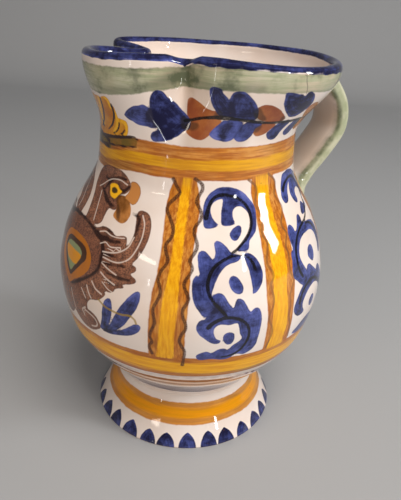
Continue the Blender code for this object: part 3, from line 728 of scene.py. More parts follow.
def paint_rings():
    """Rings painted on the turning jug: the larger of the distances below the lower and above the upper edge.
    The neck's ring dips under the crown by a smooth step of the angle."""
    here = np.interp(HEIGHT, MEAN_HEIGHT, MEAN_ALONG)
    dip = NECK_RING_DIP * smoothstep(33.0, 3.0, np.abs(from_axis(CROWN_AXIS)))
    for name, (low, high), seed, size in RINGS:
        lower = dip if low >= NECK_RING[0] else 0.0
        bottom = np.interp(low - lower, MEAN_HEIGHT, MEAN_ALONG) + wobble(ANGLE, seed, size)
        top = np.interp(high - lower, MEAN_HEIGHT, MEAN_ALONG) + wobble(ANGLE, seed + 1.7, size)
        nearer(name, np.maximum(bottom - here, here - top))


def paint_dabs():
    """Blunt pointed dabs round the foot's edge: the half width falls from most of their share of the turn with
    the height to the power 1.9."""
    share = 360.0 / DAB_COUNT
    number = np.round((ANGLE - DAB_START) / share)
    centre = DAB_START + number * share + 0.7 * np.sin(number * 2.1)
    height = DAB_HEIGHT + 0.5 * np.sin(number * 1.3 + 0.5)
    width = np.radians(share) * FOOT_RADIUS * (0.42 + 0.03 * np.sin(number * 3.7))
    across = np.radians(ANGLE - centre) * RADIUS
    up = np.clip((HEIGHT - 0.2) / height, 0.0, 2.0)
    half = width * np.clip(1.0 - np.minimum(up, 1.0) ** 1.9, 0.0, 1.0) ** 0.72
    distance = np.where(up < 1.0, np.abs(across) - half, np.hypot(across, (up - 1.0) * height))
    near = HEIGHT < DABS_BELOW
    nearer("blue", distance[near], near)
    layer("blue_load", 0.0)[:] += smoothstep(0.3, -0.3, distance) * (0.95 + 0.3 * up) * near


def paint_lip():
    """Cobalt over the lip, by how far a corner lies below its lower edge; the green wash between two edges
    under it; the places where that has run together; and painted shade in the valley under the near fold."""
    turned = np.mod(ANGLE - TABLE_START, 360.0) + TABLE_START
    angles, edge = np.array(LIP_BLUE_EDGE).T
    ragged = wobble(ANGLE, 0.8, 0.3) + 0.2 * np.sin(np.radians(ANGLE) * 41)
    below = np.interp(turned, angles, edge) + ragged - HEIGHT
    nearer("blue", below)
    layer("blue_load", 0.0)[:] += 1.25 * smoothstep(0.6, -0.6, below)
    angles, lows, highs = np.array(GREEN_HEIGHTS).T
    low = np.interp(turned, angles, lows) + wobble(ANGLE, 1.9, 0.35)
    high = np.interp(turned, angles, highs) + wobble(ANGLE, 2.9, 0.25)
    nearer("green", np.maximum(low - HEIGHT, HEIGHT - high))
    strokes("green_pool", GREEN_POOLS)
    # Painted shade in the valley under the near fold
    strokes("fold", FOLD_SHADE_STROKES)


def paint_bands():
    """The upright bands: ochre edges with a yellow heart between the belly's ring and the neck's, and a wavy
    line down each edge."""
    ends = np.maximum(BELLY_RING[1] - 1.0 - HEIGHT, HEIGHT - NECK_RING[0] - 1.0)
    for which, turn in BAND_COPIES:
        shape = np.array(BAND_SHAPES[which])
        centre = shape[:, 1:].mean()
        line, half_width = BAND_LINES[which]
        for over in (False, True):
            place = 2 * BODY_AXIS - ANGLE if over else ANGLE
            here = np.mod(place - turn - centre + 180.0, 360.0) - 180.0
            left, heart_left, heart_right, right = (
                np.radians(here + centre - smooth_curve(np.clip(HEIGHT, 70, 148), shape[:, 0], edge)) * RADIUS
                for edge in shape[:, 1:].T)
            outer = np.maximum(np.maximum(-left, right), ends)
            nearer("orange", outer)
            nearer("yellow", np.maximum(np.maximum(-heart_left, heart_right), ends))
            upright = layer("upright", 0.0)
            upright[:] = np.maximum(upright, smoothstep(0.5, -0.5, outer))
            for wave in BAND_WAVES[2 * which:2 * which + 2]:
                points = shifted(wave, turn)
                hairline(line, mirrored(points, BODY_AXIS) if over else points, half_width)


def paint_scrolls():
    """Leaf scrolls in cobalt with black stems, between the bands, and a sprig under the handle."""
    for place in both_sides(BODY_AXIS):
        patches("blue", SCROLL_LEAVES + WIDE_SCROLL_LEAVES, place, 0.8)
        strokes("stem", SCROLL_STEMS + WIDE_SCROLL_STEMS, place)
        patches("blue", [shifted(points, BACK_SPRIG_TURN) for points in SPRIG], place, 0.8)


def paint_frieze():
    """Leaves and buds along the neck, from the crown round to the handle, and the same turned over behind."""
    for place in both_sides(CROWN_AXIS):
        for points, weight in FRIEZE_BLUE:
            patch("blue", place(points), weight + FRIEZE_LOAD)
        patches("rust", FRIEZE_RUST, place)
        patches("stain", FRIEZE_STAINS, place)
        stroke("stem", place(FRIEZE_STEM))
        for points, weight in FRIEZE_BLUE[-3:]:
            patch("blue", place(shifted(points, BACK_BUDS_TURN)), weight)


def turned_over(points):
    """A drawing of the eagle turned over about its axis. The second head leans further out: its inner side by
    the square of the height above the body, its outer side by a smooth step of the height."""
    turned = mirrored(points, EAGLE_AXIS)
    own = 2.0 * EAGLE_AXIS - turned[:, 0]
    inner = INNER_LEAN * np.clip((turned[:, 1] - 122.0) / 17.0, 0.0, 1.0) ** 2
    outer = OUTER_LEAN * smoothstep(124.0, 131.0, turned[:, 1])
    lean = inner + (outer - inner) * np.clip((own - 190.0) / 16.0, 0.0, 1.0)
    turned[:, 0] -= lean * smoothstep(219.5, 216.5, own)
    return turned


def paint_eagle():
    """The two-headed eagle: brown washes, darker contours, lines scratched through, a shield and sprigs."""
    for place in (as_drawn, turned_over):
        patches("brown", EAGLE_BROWN, place)
        strokes("dark", EAGLE_DARK, place)
        for points, half_width in EAGLE_SCRATCHES:
            hairline("scratch", place(points), half_width)
        patch("beak", place(BEAK_UPPER))
        patch("beak_low", place(BEAK_LOWER))
        stroke("beak_shade", place(BEAK_SHADOW))
        patch("eye", place(EYE))
        patch("pupil", place(PUPIL))
        patches("blue", SPRIG, place, 0.85)
        hairline("olive", place(SPRIG_LINE), 0.55)
    patch("shield", SHIELD_BORDER)
    patch("shield_dark", SHIELD_DARK)
    patch("shield_green", SHIELD_GREEN)
    patch("shield_yellow", SHIELD_YELLOW)


def paint_crown():
    """The crown: fanned lobes in ochre with yellow sides and brown veins, over an olive bar."""
    for place in both_sides(CROWN_AXIS):
        patches("crown", CROWN_LOBES, place)
        for points in CROWN_YELLOW:
            stroke("crown_yellow", place(np.column_stack([points, np.full(len(points), 1.1)])))
        strokes("vein", CROWN_VEINS + CROWN_BASE_LINES, place)
        patch("crown_base", place(CROWN_BASE), smooth=False)


def paint_all():
    """All colours, and the crack in the glaze under the lip."""
    paint_rings()
    paint_dabs()
    paint_lip()
    paint_bands()
    paint_scrolls()
    paint_frieze()
    paint_eagle()
    paint_crown()
    hairline("crack", CRACK, 0.26)


# Meshes

def quads_between(first, rows, columns):
    """Corners of the quads between neighbouring rings, with their row and unrolled column numbers."""
    grid = np.meshgrid(np.arange(rows - 1), np.arange(columns), indexing="ij")
    row, column = (part.ravel() for part in grid)
    corner_rows = np.stack([row, row, row + 1, row + 1], 1)
    corner_columns = np.stack([column, column + 1, column + 1, column], 1)
    return first + corner_rows * columns + corner_columns % columns, corner_rows, corner_columns


def fan(first, centre, columns):
    """Triangles from a ring to the point in its middle, with their row and unrolled column numbers."""
    number = np.arange(columns)
    corners = np.stack([first + number, first + (number + 1) % columns, np.full(columns, centre)], 1)
    return corners, np.array([[0, 0, 1]]).repeat(columns, 0), np.stack([number, number + 1, number + 0.5], 1)


def bridge(first_fine, first_coarse):
    """Faces between an outer wall's ring and one on fewer columns, with row and unrolled column numbers."""
    number = np.arange(INNER_COLUMNS)
    following = (number + 1) % INNER_COLUMNS
    count = COLUMN_STEP + 1
    fine = [first_fine + (number * COLUMN_STEP + k) % COLUMNS for k in range(count)]
    corners = np.stack(fine + [first_coarse + following, first_coarse + number], 1)
    corner_rows = np.zeros_like(corners)
    corner_rows[:, count:] = 1
    corner_columns = np.stack([number + k / COLUMN_STEP for k in range(count)] + [number + 1, number], 1)
    return corners, corner_rows, corner_columns


def make_mesh(name, points, groups):
    """A mesh from points in millimetres and groups of faces, each with its corners' places in the layout."""
    mesh = bpy.data.meshes.new(name)
    mesh.vertices.add(len(points))
    mesh.vertices.foreach_set("co", (points * MM).ravel())
    corners = np.concatenate([faces.ravel() for faces, _ in groups])
    sizes = np.concatenate([np.full(len(faces), faces.shape[1]) for faces, _ in groups])
    mesh.loops.add(len(corners))
    mesh.loops.foreach_set("vertex_index", corners)
    mesh.polygons.add(len(sizes))
    mesh.polygons.foreach_set("loop_start", np.concatenate([[0], np.cumsum(sizes)[:-1]]))
    mesh.polygons.foreach_set("use_smooth", np.ones(len(sizes), bool))
    layout = mesh.uv_layers.new(name="OFBake")
    layout.data.foreach_set("uv", np.concatenate([places.reshape(-1) for _, places in groups]))
    mesh.update(calc_edges=True)
    mesh.validate()
    return mesh


def unrolled(across, up, corner_rows, corner_columns, columns):
    """Places in the layout: the column's share of the turn across, the row's place up."""
    low, high = across
    u = low + (high - low) * corner_columns / columns
    return np.stack([u, np.asarray(up)[corner_rows]], -1)


def disc_places(centre, size, radii, corner_rows, corner_columns, columns):
    """Places in the layout of a flat disc, looked at straight on."""
    turn = 2 * np.pi * corner_columns / columns
    reach = np.asarray(radii)[corner_rows] * size
    return np.stack([centre[0] + reach * np.cos(turn), centre[1] + reach * np.sin(turn)], -1)


def places_up(rings, low, height):
    """Where rings lie up the layout: their mean distance along the surface, scaled to a strip's height."""
    steps = np.linalg.norm(np.diff(rings, axis=0), axis=-1).mean(axis=1)
    along = np.concatenate([[0.0], np.cumsum(steps)])
    return low + along * (height / along[-1])


def lip_rings(outer, inner):
    """The lip: half an ellipse from the outer wall's top ring over to the inner wall's."""
    turn = np.pi * np.arange(1, LIP_ROWS + 1)[:, None, None] / LIP_ROWS
    rise = np.array([0.0, 0.0, WALL / 2])
    lip = (outer + inner) / 2 + (outer - inner) / 2 * np.cos(turn) + rise * np.sin(turn)
    lip[-1] = inner
    return lip


def foot_edge_rings(angle):
    """The foot's edge: a quarter ellipse from the underside out and up to the wall's first ring."""
    turn = np.radians(QUARTER_TURN[::-1])[:, None]
    reach = outer_radius(angle, FOOT_EDGE) - UNDER_RADII[0]
    return ring(angle, UNDER_RADII[0] + reach * np.cos(turn), FOOT_EDGE * (1 - np.sin(turn)))


def inside_rings(inner, angle):
    """The inside from the lip down: every fourth ring of the inner wall, a quarter ellipse, and the floor."""
    flare = inner[-FLARE_ROWS:-1][::-ROW_STEP]
    body = inner[:-FLARE_ROWS]
    wall = body[body[:, 0, 2] > FLOOR + FILLET_CLEARANCE][::-ROW_STEP]
    end = wall[-1, 0]
    floor_radius = np.hypot(end[0], end[1]) - FLOOR_FILLET
    turn = np.radians(QUARTER_TURN)[:, None]
    height = FLOOR + (end[2] - FLOOR) * (1 - np.sin(turn))
    fillet = ring(angle, floor_radius + FLOOR_FILLET * np.cos(turn), height)
    flat = ring(angle, floor_radius * np.array(FLOOR_SHARES)[:, None], FLOOR)
    return np.concatenate([flare, wall, fillet, flat]), floor_radius


def vessel_mesh():
    """The hollow jug as one closed surface: underside, foot's edge, outer wall, lip, inner wall and floor. The
    inner wall is the outer one moved in along its normals by the wall's thickness, on fewer columns."""
    angle = ANGLE[0]
    outer = ring(ANGLE, RADIUS + hand_waver(ANGLE, HEIGHT), HEIGHT)
    inner = PROFILE - WALL * outward(PROFILE)
    edge = foot_edge_rings(angle)
    fine = np.concatenate([edge, outer, lip_rings(outer[-1], inner[-1])])
    inside, floor_radius = inside_rings(inner[:, ::COLUMN_STEP], angle[::COLUMN_STEP])
    under = ring(angle[::COLUMN_STEP], np.array(UNDER_RADII[1:-1])[:, None], 0.0)
    centres = [[0.0, 0.0, FLOOR], [0.0, 0.0, 0.0]]
    points = np.concatenate([fine.reshape(-1, 3), inside.reshape(-1, 3), under.reshape(-1, 3), centres])

    start_inside = len(fine) * COLUMNS
    start_under = start_inside + len(inside) * INNER_COLUMNS
    floor_centre = len(points) - 2
    outer_up = places_up(fine, *OUTER_UP)
    inner_up = places_up(np.concatenate([fine[-1:, ::COLUMN_STEP], inside]), *INNER_UP)
    groups = []
    faces, *where = quads_between(0, len(fine), COLUMNS)
    groups.append((faces, unrolled(OUTER_ACROSS, outer_up, *where, COLUMNS)))
    faces, *where = quads_between(start_inside, len(inside), INNER_COLUMNS)
    groups.append((faces, unrolled(INNER_ACROSS, inner_up[1:], *where, INNER_COLUMNS)))
    faces, *where = bridge(start_inside - COLUMNS, start_inside)
    groups.append((faces, unrolled(INNER_ACROSS, inner_up, *where, INNER_COLUMNS)))
    faces, *where = fan(start_under - INNER_COLUMNS, floor_centre, INNER_COLUMNS)
    disc = FLOOR_DISC[0], FLOOR_DISC[1] / floor_radius, (floor_radius * FLOOR_SHARES[-1], 0.0)
    groups.append((faces, disc_places(*disc, *where, INNER_COLUMNS)))

    # The underside's faces look down, so their corners run the other way and the disc is mirrored
    disc = UNDER_DISC[0], UNDER_DISC[1] / FOOT_RADIUS, UNDER_RADII
    parts = (
        (0, bridge(0, start_under)),
        (1, quads_between(start_under, len(under), INNER_COLUMNS)),
        (len(under), fan(len(points) - 2 - INNER_COLUMNS, len(points) - 1, INNER_COLUMNS)))
    for row, part in parts:
        faces, rows, columns = (corners[:, ::-1] for corners in part)
        groups.append((faces, disc_places(*disc, row + rows, -columns, INNER_COLUMNS)))
    return make_mesh("jug_body", points, groups), points, edge.shape[0]


def attribute(mesh, name, values):
    """One number per corner of the mesh."""
    entry = mesh.attributes.new(name, "FLOAT", "POINT")
    entry.data.foreach_set("value", values.astype(np.float32))


# Materials

class Nodes:
    """Short ways to lay out shader nodes."""

    def __init__(self, tree):
        self.tree = tree

    def add(self, kind, **settings):
        node = self.tree.nodes.new(kind)
        for key, value in settings.items():
            setattr(node, key, value)
        return node

    def join(self, source, target):
        self.tree.links.new(source, target)

    def put(self, socket, value):
        if hasattr(value, "is_linked"):
            self.join(value, socket)
        else:
            socket.default_value = value

    def math(self, operation, a, b=0.0, clamp=False):
        node = self.add("ShaderNodeMath", operation=operation, use_clamp=clamp)
        self.put(node.inputs[0], a)
        self.put(node.inputs[1], b)
        return node.outputs[0]

    def times(self, a, b):
        return self.math("MULTIPLY", a, b)

    def number(self, name):
        return self.add("ShaderNodeAttribute", attribute_name=name).outputs["Fac"]

    def ramp(self, value, low, high, start=0.0, end=1.0):
        node = self.add("ShaderNodeMapRange", interpolation_type="SMOOTHSTEP")
        for socket, entry in zip(node.inputs, (value, low, high, start, end)):
            self.put(socket, entry)
        return node.outputs[0]

    def mix(self, factor, a, b):
        node = self.add("ShaderNodeMix", data_type="RGBA")
        self.put(node.inputs["Factor"], factor)
        self.put(node.inputs["A"], a)
        self.put(node.inputs["B"], b)
        return node.outputs["Result"]

    def noise(self, vector, scale, detail=3.0, roughness=0.55):
        node = self.add("ShaderNodeTexNoise")
        self.put(node.inputs["Vector"], vector)
        node.inputs["Scale"].default_value = scale
        node.inputs["Detail"].default_value = detail
        node.inputs["Roughness"].default_value = roughness
        return node.outputs["Fac"]

    def stretched(self, vector, scale):
        node = self.add("ShaderNodeMapping")
        self.put(node.inputs["Vector"], vector)
        node.inputs["Scale"].default_value = scale
        return node.outputs["Vector"]


def colour(red, green, blue):
    """A colour given as it looks on a screen, turned into light."""
    channels = [c / 12.92 if c <= 0.04045 else ((c + 0.055) / 1.055) ** 2.4 for c in (red, green, blue)]
    return (*channels, 1.0)


# Warm grey of the painted shade under the near fold
PAINTED_FOLD_SHADE = colour(0.74, 0.64, 0.55)
# Grey of the painted shade on the handle's inner face
INNER_SIDE_SHADE_GREY = colour(0.74, 0.71, 0.66)
BARE_GLAZE = colour(0.945, 0.90, 0.87)
WARM_GLAZE = colour(0.92, 0.85, 0.80)
CLAY = colour(0.72, 0.50, 0.38)
DARK_CLAY = colour(0.62, 0.40, 0.28)
SPECK = colour(0.35, 0.22, 0.14)
CRACK_GREY = colour(0.36, 0.33, 0.30)
ORANGE = colour(0.80, 0.49, 0.10)
PALE_ORANGE = colour(0.87, 0.62, 0.30)
BURNT_ORANGE = colour(0.64, 0.34, 0.05)
YELLOW = colour(0.99, 0.74, 0.10)
DEEP_YELLOW = colour(0.90, 0.60, 0.04)
NECK_YELLOW = colour(0.90, 0.66, 0.07)
OCHRE = colour(0.80, 0.54, 0.05)
AMBER = colour(0.95, 0.62, 0.05)
CROWN_OCHRE = colour(0.76, 0.46, 0.06)
PALE_CROWN_OCHRE = colour(0.90, 0.62, 0.08)
COBALT = colour(0.33, 0.38, 0.68)
DEEP_COBALT = colour(0.07, 0.075, 0.22)
WAIST_VIOLET = colour(0.15, 0.12, 0.30)
BLACK_STEM = colour(0.08, 0.07, 0.07)
STAIN = colour(0.16, 0.14, 0.10)
BROWN = colour(0.52, 0.31, 0.21)
PALE_BROWN = colour(0.64, 0.42, 0.30)
DARK_BROWN = colour(0.17, 0.09, 0.07)
LINE_BROWN = colour(0.28, 0.16, 0.10)
BAR_BROWN = colour(0.60, 0.40, 0.12)
FAINT_LINE = colour(0.50, 0.33, 0.18)
RUST = colour(0.54, 0.24, 0.05)
PALE_RUST = colour(0.68, 0.40, 0.16)
GREEN = colour(0.62, 0.65, 0.51)
DEEP_GREEN = colour(0.34, 0.38, 0.28)
PALE_GREEN = colour(0.77, 0.77, 0.66)
THIN_GREEN = colour(0.76, 0.71, 0.60)
OLIVE = colour(0.42, 0.35, 0.10)
OLIVE_LINE = colour(0.62, 0.50, 0.12)
GREY_RING = colour(0.50, 0.48, 0.53)
BEAK = colour(0.78, 0.52, 0.27)
BEAK_SHADE = colour(0.48, 0.29, 0.10)
SHIELD_OCHRE = colour(0.66, 0.38, 0.12)
SHIELD_BLACK = colour(0.24, 0.15, 0.10)
SHIELD_BROWN = colour(0.34, 0.22, 0.14)
SHIELD_SAGE = colour(0.56, 0.60, 0.42)


def brush_group():
    """The edge of a painted colour: how far inside its outline, made uneven by noise, turned into coverage."""
    group = bpy.data.node_groups.new("brush_edge", "ShaderNodeTree")
    for name, start in (("Distance", 1.0), ("Unevenness", 0.25), ("Softness", 0.22), ("Noise", 0.5)):
        socket = group.interface.new_socket(name, in_out="INPUT", socket_type="NodeSocketFloat")
        socket.default_value = start
    group.interface.new_socket("Coverage", in_out="OUTPUT", socket_type="NodeSocketFloat")
    nodes = Nodes(group)
    given = nodes.add("NodeGroupInput").outputs
    shift = nodes.times(nodes.math("SUBTRACT", given["Noise"], 0.5), given["Unevenness"])
    distance = nodes.math("ADD", given["Distance"], shift)
    scaled = nodes.math("DIVIDE", distance, given["Softness"])
    covered = nodes.ramp(scaled, -1.0, 1.0, 1.0, 0.0)
    result = nodes.add("NodeGroupOutput")
    nodes.join(covered, result.inputs["Coverage"])
    return group


class Glaze(Nodes):
    """A glossy white glaze whose shade is built up by laying paints over it."""

    def __init__(self, name, brush):
        self.material = bpy.data.materials.new(name)
        self.material.use_nodes = True
        super().__init__(self.material.node_tree)
        self.brush = brush
        self.place = self.add("ShaderNodeTexCoord").outputs["Object"]
        self.edge = self.noise(self.place, 330.0, 2.0)
        self.cloud = self.noise(self.place, 85.0, 4.0, 0.6)
        self.wide = self.noise(self.place, 28.0, 3.0)
        self.shade = self.between(self.wide, 0.35, 0.7, BARE_GLAZE, WARM_GLAZE)

    def between(self, value, low, high, a, b, start=0.0, end=1.0):
        """One colour turning into another while a value rises."""
        return self.mix(self.ramp(value, low, high, start, end), a, b)

    def cover(self, layer_name, unevenness=0.5, softness=0.25, noise=None):
        """Coverage by a layer's strokes, or by a distance that is handed over."""
        node = self.add("ShaderNodeGroup", node_tree=self.brush)
        distance = self.number(layer_name) if isinstance(layer_name, str) else layer_name
        self.put(node.inputs["Distance"], distance)
        node.inputs["Unevenness"].default_value = unevenness
        node.inputs["Softness"].default_value = softness
        self.put(node.inputs["Noise"], self.edge if noise is None else noise)
        return node.outputs["Coverage"]

    def lay(self, layer_name, paint, strength=1.0, unevenness=0.5, softness=0.25, noise=None):
        """Lays a paint where a layer's strokes are."""
        covered = self.times(self.cover(layer_name, unevenness, softness, noise), strength)
        self.shade = self.mix(covered, self.shade, paint)

    def draw(self, name, paint, strength):
        """Lays a paint along a layer's thin lines."""
        side = self.math("ADD", self.math("ABSOLUTE", self.number(name + "_side")), self.times(self.edge, 0.6))
        on_line = self.ramp(side, 0.9, 1.6, 1.0, 0.0)
        close = self.ramp(self.number(name + "_away"), 0.5, 1.0, 1.0, 0.0)
        self.shade = self.mix(self.times(self.times(on_line, close), strength), self.shade, paint)

    def finish(self, roughness, height):
        """The shade, the gloss and the slight waves of the fired glaze."""
        shader = self.material.node_tree.nodes["Principled BSDF"]
        bump = self.add("ShaderNodeBump")
        bump.inputs["Strength"].default_value = 0.25
        bump.inputs["Distance"].default_value = 0.0002
        self.join(height, bump.inputs["Height"])
        self.join(self.shade, shader.inputs["Base Color"])
        self.join(roughness, shader.inputs["Roughness"])
        self.join(bump.outputs["Normal"], shader.inputs["Normal"])
        shader.inputs["IOR"].default_value = 1.5
        return self.material


def lay_washes(glaze, streak, streaks, flat_streaks):
    """The wide colours of body and neck: green under the lip, orange, yellow and the waist's thin rings."""
    cloud, wide = glaze.cloud, glaze.wide
    thin_edge = glaze.ramp(glaze.number("green"), -0.2, -1.6, 0.3, 0.0)
    pooled = glaze.math("ADD", glaze.ramp(cloud, 0.46, 0.70, 0.0, 0.8), thin_edge)
    run_together = glaze.times(glaze.cover("green_pool", 3.0, 2.2, cloud), 0.7)
    pooled = glaze.math("ADD", pooled, run_together, clamp=True)
    green = glaze.mix(streak, GREEN, glaze.between(wide, 0.4, 0.62, PALE_GREEN, THIN_GREEN))
    green = glaze.mix(pooled, green, DEEP_GREEN)
    glaze.lay("green", green, glaze.ramp(cloud, 0.1, 0.5, 0.72, 0.95), 1.2, 0.4)

    parts = glaze.add("ShaderNodeSeparateXYZ")
    glaze.join(glaze.place, parts.inputs[0])
    up = parts.outputs["Z"]
    orange = glaze.mix(streak, glaze.between(cloud, 0.35, 0.7, ORANGE, PALE_ORANGE), BURNT_ORANGE)
    orange = glaze.between(glaze.number("orange"), -0.1, -0.8, orange, BURNT_ORANGE, 0.35, 0.0)
    orange = glaze.between(up, 0.020, 0.030, orange, PALE_ORANGE, 0.5, 0.0)
    orange = glaze.between(wide, 0.52, 0.72, orange, OLIVE, 0.0, 0.45)
    glaze.lay("orange", orange, 0.99, 0.7, 0.35)
    yellow = glaze.mix(streak, YELLOW, DEEP_YELLOW)
    yellow = glaze.between(up, 0.142, 0.149, yellow, glaze.mix(streak, NECK_YELLOW, OCHRE))
    glaze.lay("yellow", yellow, 1.0, 1.6, 0.6, streaks)
    amber = glaze.between(up, 0.03, 0.045, glaze.mix(streak, AMBER, DEEP_YELLOW), yellow)
    glaze.lay("amber", amber, 1.0, 2.0, 1.2, streaks)
    glaze.lay("grey_ring", GREY_RING, 0.8, 0.8, 0.7)
    glaze.lay("brown_ring", BROWN, 0.95, 0.8, 0.5)
    glaze.lay("waist_ring", WAIST_VIOLET, glaze.ramp(flat_streaks, 0.3, 0.6, 0.88, 1.0), 1.2, 0.6)


def lay_figures(glaze, streak, grain, mottle):
    """Crown, buds, and the eagle with its shield."""
    cloud = glaze.cloud
    glaze.lay("crown", glaze.between(cloud, 0.35, 0.65, CROWN_OCHRE, PALE_CROWN_OCHRE))
    glaze.lay("crown_yellow", YELLOW, glaze.ramp(glaze.number("crown"), 0.0, -0.4), 0.8, 0.5)
    glaze.lay("crown_base", glaze.between(cloud, 0.5, 0.72, OLIVE, BAR_BROWN), 0.93, softness=0.4)
    glaze.lay("vein", glaze.mix(streak, LINE_BROWN, DARK_BROWN))
    glaze.lay("rust", glaze.between(cloud, 0.35, 0.7, RUST, PALE_RUST), 0.96)

    brown = glaze.between(cloud, 0.36, 0.74, BROWN, PALE_BROWN)
    darker = (
        (mottle, 0.48, 0.68, 0.0, 0.55), (glaze.wide, 0.30, 0.46, 0.45, 0.0),
        (grain, 0.42, 0.66, 0.0, 0.7), (glaze.number("brown"), -0.1, -0.8, 0.4, 0.0))
    for value, low, high, start, end in darker:
        brown = glaze.between(value, low, high, brown, DARK_BROWN, start, end)
    glaze.lay("brown", brown, 0.97)
    glaze.lay("dark", DARK_BROWN, 0.93, 0.9, 0.5)
    glaze.draw("scratch", WARM_GLAZE, 0.72)
    glaze.lay("beak_low", glaze.between(cloud, 0.3, 0.62, BEAK, BEAK_SHADE))
    glaze.lay("beak_shade", DARK_BROWN, 0.75, 1.2, 0.7)
    glaze.lay("beak", glaze.between(glaze.number("beak"), -0.1, -0.5, BEAK, BEAK_SHADE, 0.7, 0.0))
    glaze.lay(glaze.math("SUBTRACT", glaze.number("eye"), 1.5), DARK_BROWN, 0.55, 1.4, 0.8)
    glaze.lay("eye", YELLOW, 1.0, 0.7, 0.35)
    glaze.lay("pupil", glaze.mix(cloud, OLIVE, DARK_BROWN), 1.0, 0.4, 0.35)
    glaze.lay("shield", glaze.mix(cloud, ORANGE, SHIELD_OCHRE))
    glaze.lay("shield_dark", glaze.mix(cloud, SHIELD_BLACK, SHIELD_BROWN))
    glaze.lay("shield_green", SHIELD_SAGE)
    glaze.lay("shield_yellow", DEEP_YELLOW, 1.0, 0.6, 0.4)


def lay_cobalt(glaze, flat_streaks, mottle):
    """Cobalt, deeper where more paint lies: the strokes' load, made uneven by noises, one of which follows the
    strokes, and more of it along their edges."""
    distance = glaze.number("blue")
    drift = glaze.add("ShaderNodeCombineXYZ")
    glaze.join(glaze.times(distance, 1.4), drift.inputs["X"])
    glaze.join(glaze.times(distance, 1.1), drift.inputs["Y"])
    along = glaze.add("ShaderNodeVectorMath", operation="ADD")
    glaze.join(glaze.stretched(glaze.place, (70.0, 70.0, 70.0)), along.inputs[0])
    glaze.join(drift.outputs[0], along.inputs[1])
    bristles = glaze.noise(along.outputs[0], 1.0, 3.0, 0.62)
    load_here = glaze.number("blue_load")
    for noise, size in ((glaze.cloud, 0.26), (mottle, 0.22), (flat_streaks, 0.08), (bristles, 0.14)):
        load_here = glaze.math("ADD", load_here, glaze.ramp(noise, 0.3, 0.7, -size, size))
    load_here = glaze.math("ADD", load_here, glaze.ramp(distance, -0.15, -0.8, 0.35, 0.0))
    blue = glaze.between(load_here, 0.0, 1.45, COBALT, DEEP_COBALT)
    glaze.lay("blue", blue, glaze.ramp(load_here, 0.0, 0.6, 0.93, 0.995))


def body_material(brush):
    """Tin glaze painted with oxides, fired glossy: each colour's wash is laid over the ones before it."""
    glaze = Glaze("painted_glaze", brush)
    place, cloud = glaze.place, glaze.cloud
    flat_streaks = glaze.noise(glaze.stretched(place, (60.0, 60.0, 900.0)), 1.0, 3.0, 0.65)
    upright_streaks = glaze.noise(glaze.stretched(place, (900.0, 900.0, 55.0)), 1.0, 3.0, 0.65)
    streaks = glaze.mix(glaze.number("upright"), flat_streaks, upright_streaks)
    streak = glaze.ramp(streaks, 0.3, 0.7)
    grain = glaze.noise(place, 1700.0, 1.0)
    mottle = glaze.noise(place, 300.0, 3.0, 0.6)

    # Painted shade, laid first: the warm grey wash in the valley under the near fold
    glaze.lay("fold", PAINTED_FOLD_SHADE, 0.55, 1.5, 3.4, cloud)
    lay_washes(glaze, streak, streaks, flat_streaks)
    lay_figures(glaze, streak, grain, mottle)
    lay_cobalt(glaze, flat_streaks, mottle)
    glaze.lay("stain", STAIN, 0.62, 1.0, 0.6)
    glaze.draw("olive", OLIVE_LINE, 0.75)
    glaze.draw("line", LINE_BROWN, glaze.ramp(grain, 0.3, 0.7, 0.95, 0.7))
    glaze.draw("faint", FAINT_LINE, glaze.ramp(cloud, 0.3, 0.6, 0.95, 0.6))
    glaze.draw("crack", CRACK_GREY, 0.6)
    glaze.lay("stem", BLACK_STEM, glaze.ramp(grain, 0.35, 0.7, 0.98, 0.86), 0.4, 0.2)
    specks = glaze.ramp(glaze.noise(place, 420.0, 1.0), 0.79, 0.82)
    glaze.shade = glaze.mix(glaze.times(specks, 0.6), glaze.shade, SPECK)
    glaze.lay("bare", glaze.mix(cloud, CLAY, DARK_CLAY), 1.0, 1.2, 0.4)

    gloss = glaze.ramp(cloud, 0.2, 0.8, 0.03, 0.07)
    rough_clay = glaze.times(glaze.cover("bare", 1.2, 0.4), 0.75)
    height = glaze.math("ADD", glaze.times(glaze.wide, 0.7), glaze.times(cloud, 0.3))
    return glaze.finish(glaze.math("MAXIMUM", gloss, rough_clay), height)


def handle_material(brush):
    """The same glaze with a sage stripe down the strap's outside and over its edges, and painted shade on its
    inner face.
    """
    glaze = Glaze("painted_handle", brush)
    cloud = glaze.cloud
    flat = glaze.noise(glaze.place, 160.0, 3.0, 0.6)
    glaze.lay("green", glaze.between(cloud, 0.35, 0.65, PALE_GREEN, GREEN), 0.96, 1.6, 0.6, cloud)
    glaze.lay("pale_green", PALE_GREEN, glaze.ramp(flat, 0.3, 0.6, 0.4, 0.95), 3.0, 1.2, cloud)
    glaze.lay("dark_green", DEEP_GREEN, glaze.ramp(flat, 0.35, 0.65, 0.9, 0.45), 2.6, 1.0, cloud)
    # Painted shade: a grey wash over the strap's inner face, which looks towards the jug
    glaze.lay("inner_side_shade", INNER_SIDE_SHADE_GREY, 0.75, 1.0, 1.2, cloud)
    return glaze.finish(glaze.ramp(glaze.edge, 0.2, 0.8, 0.03, 0.07), glaze.wide)


# Pieces

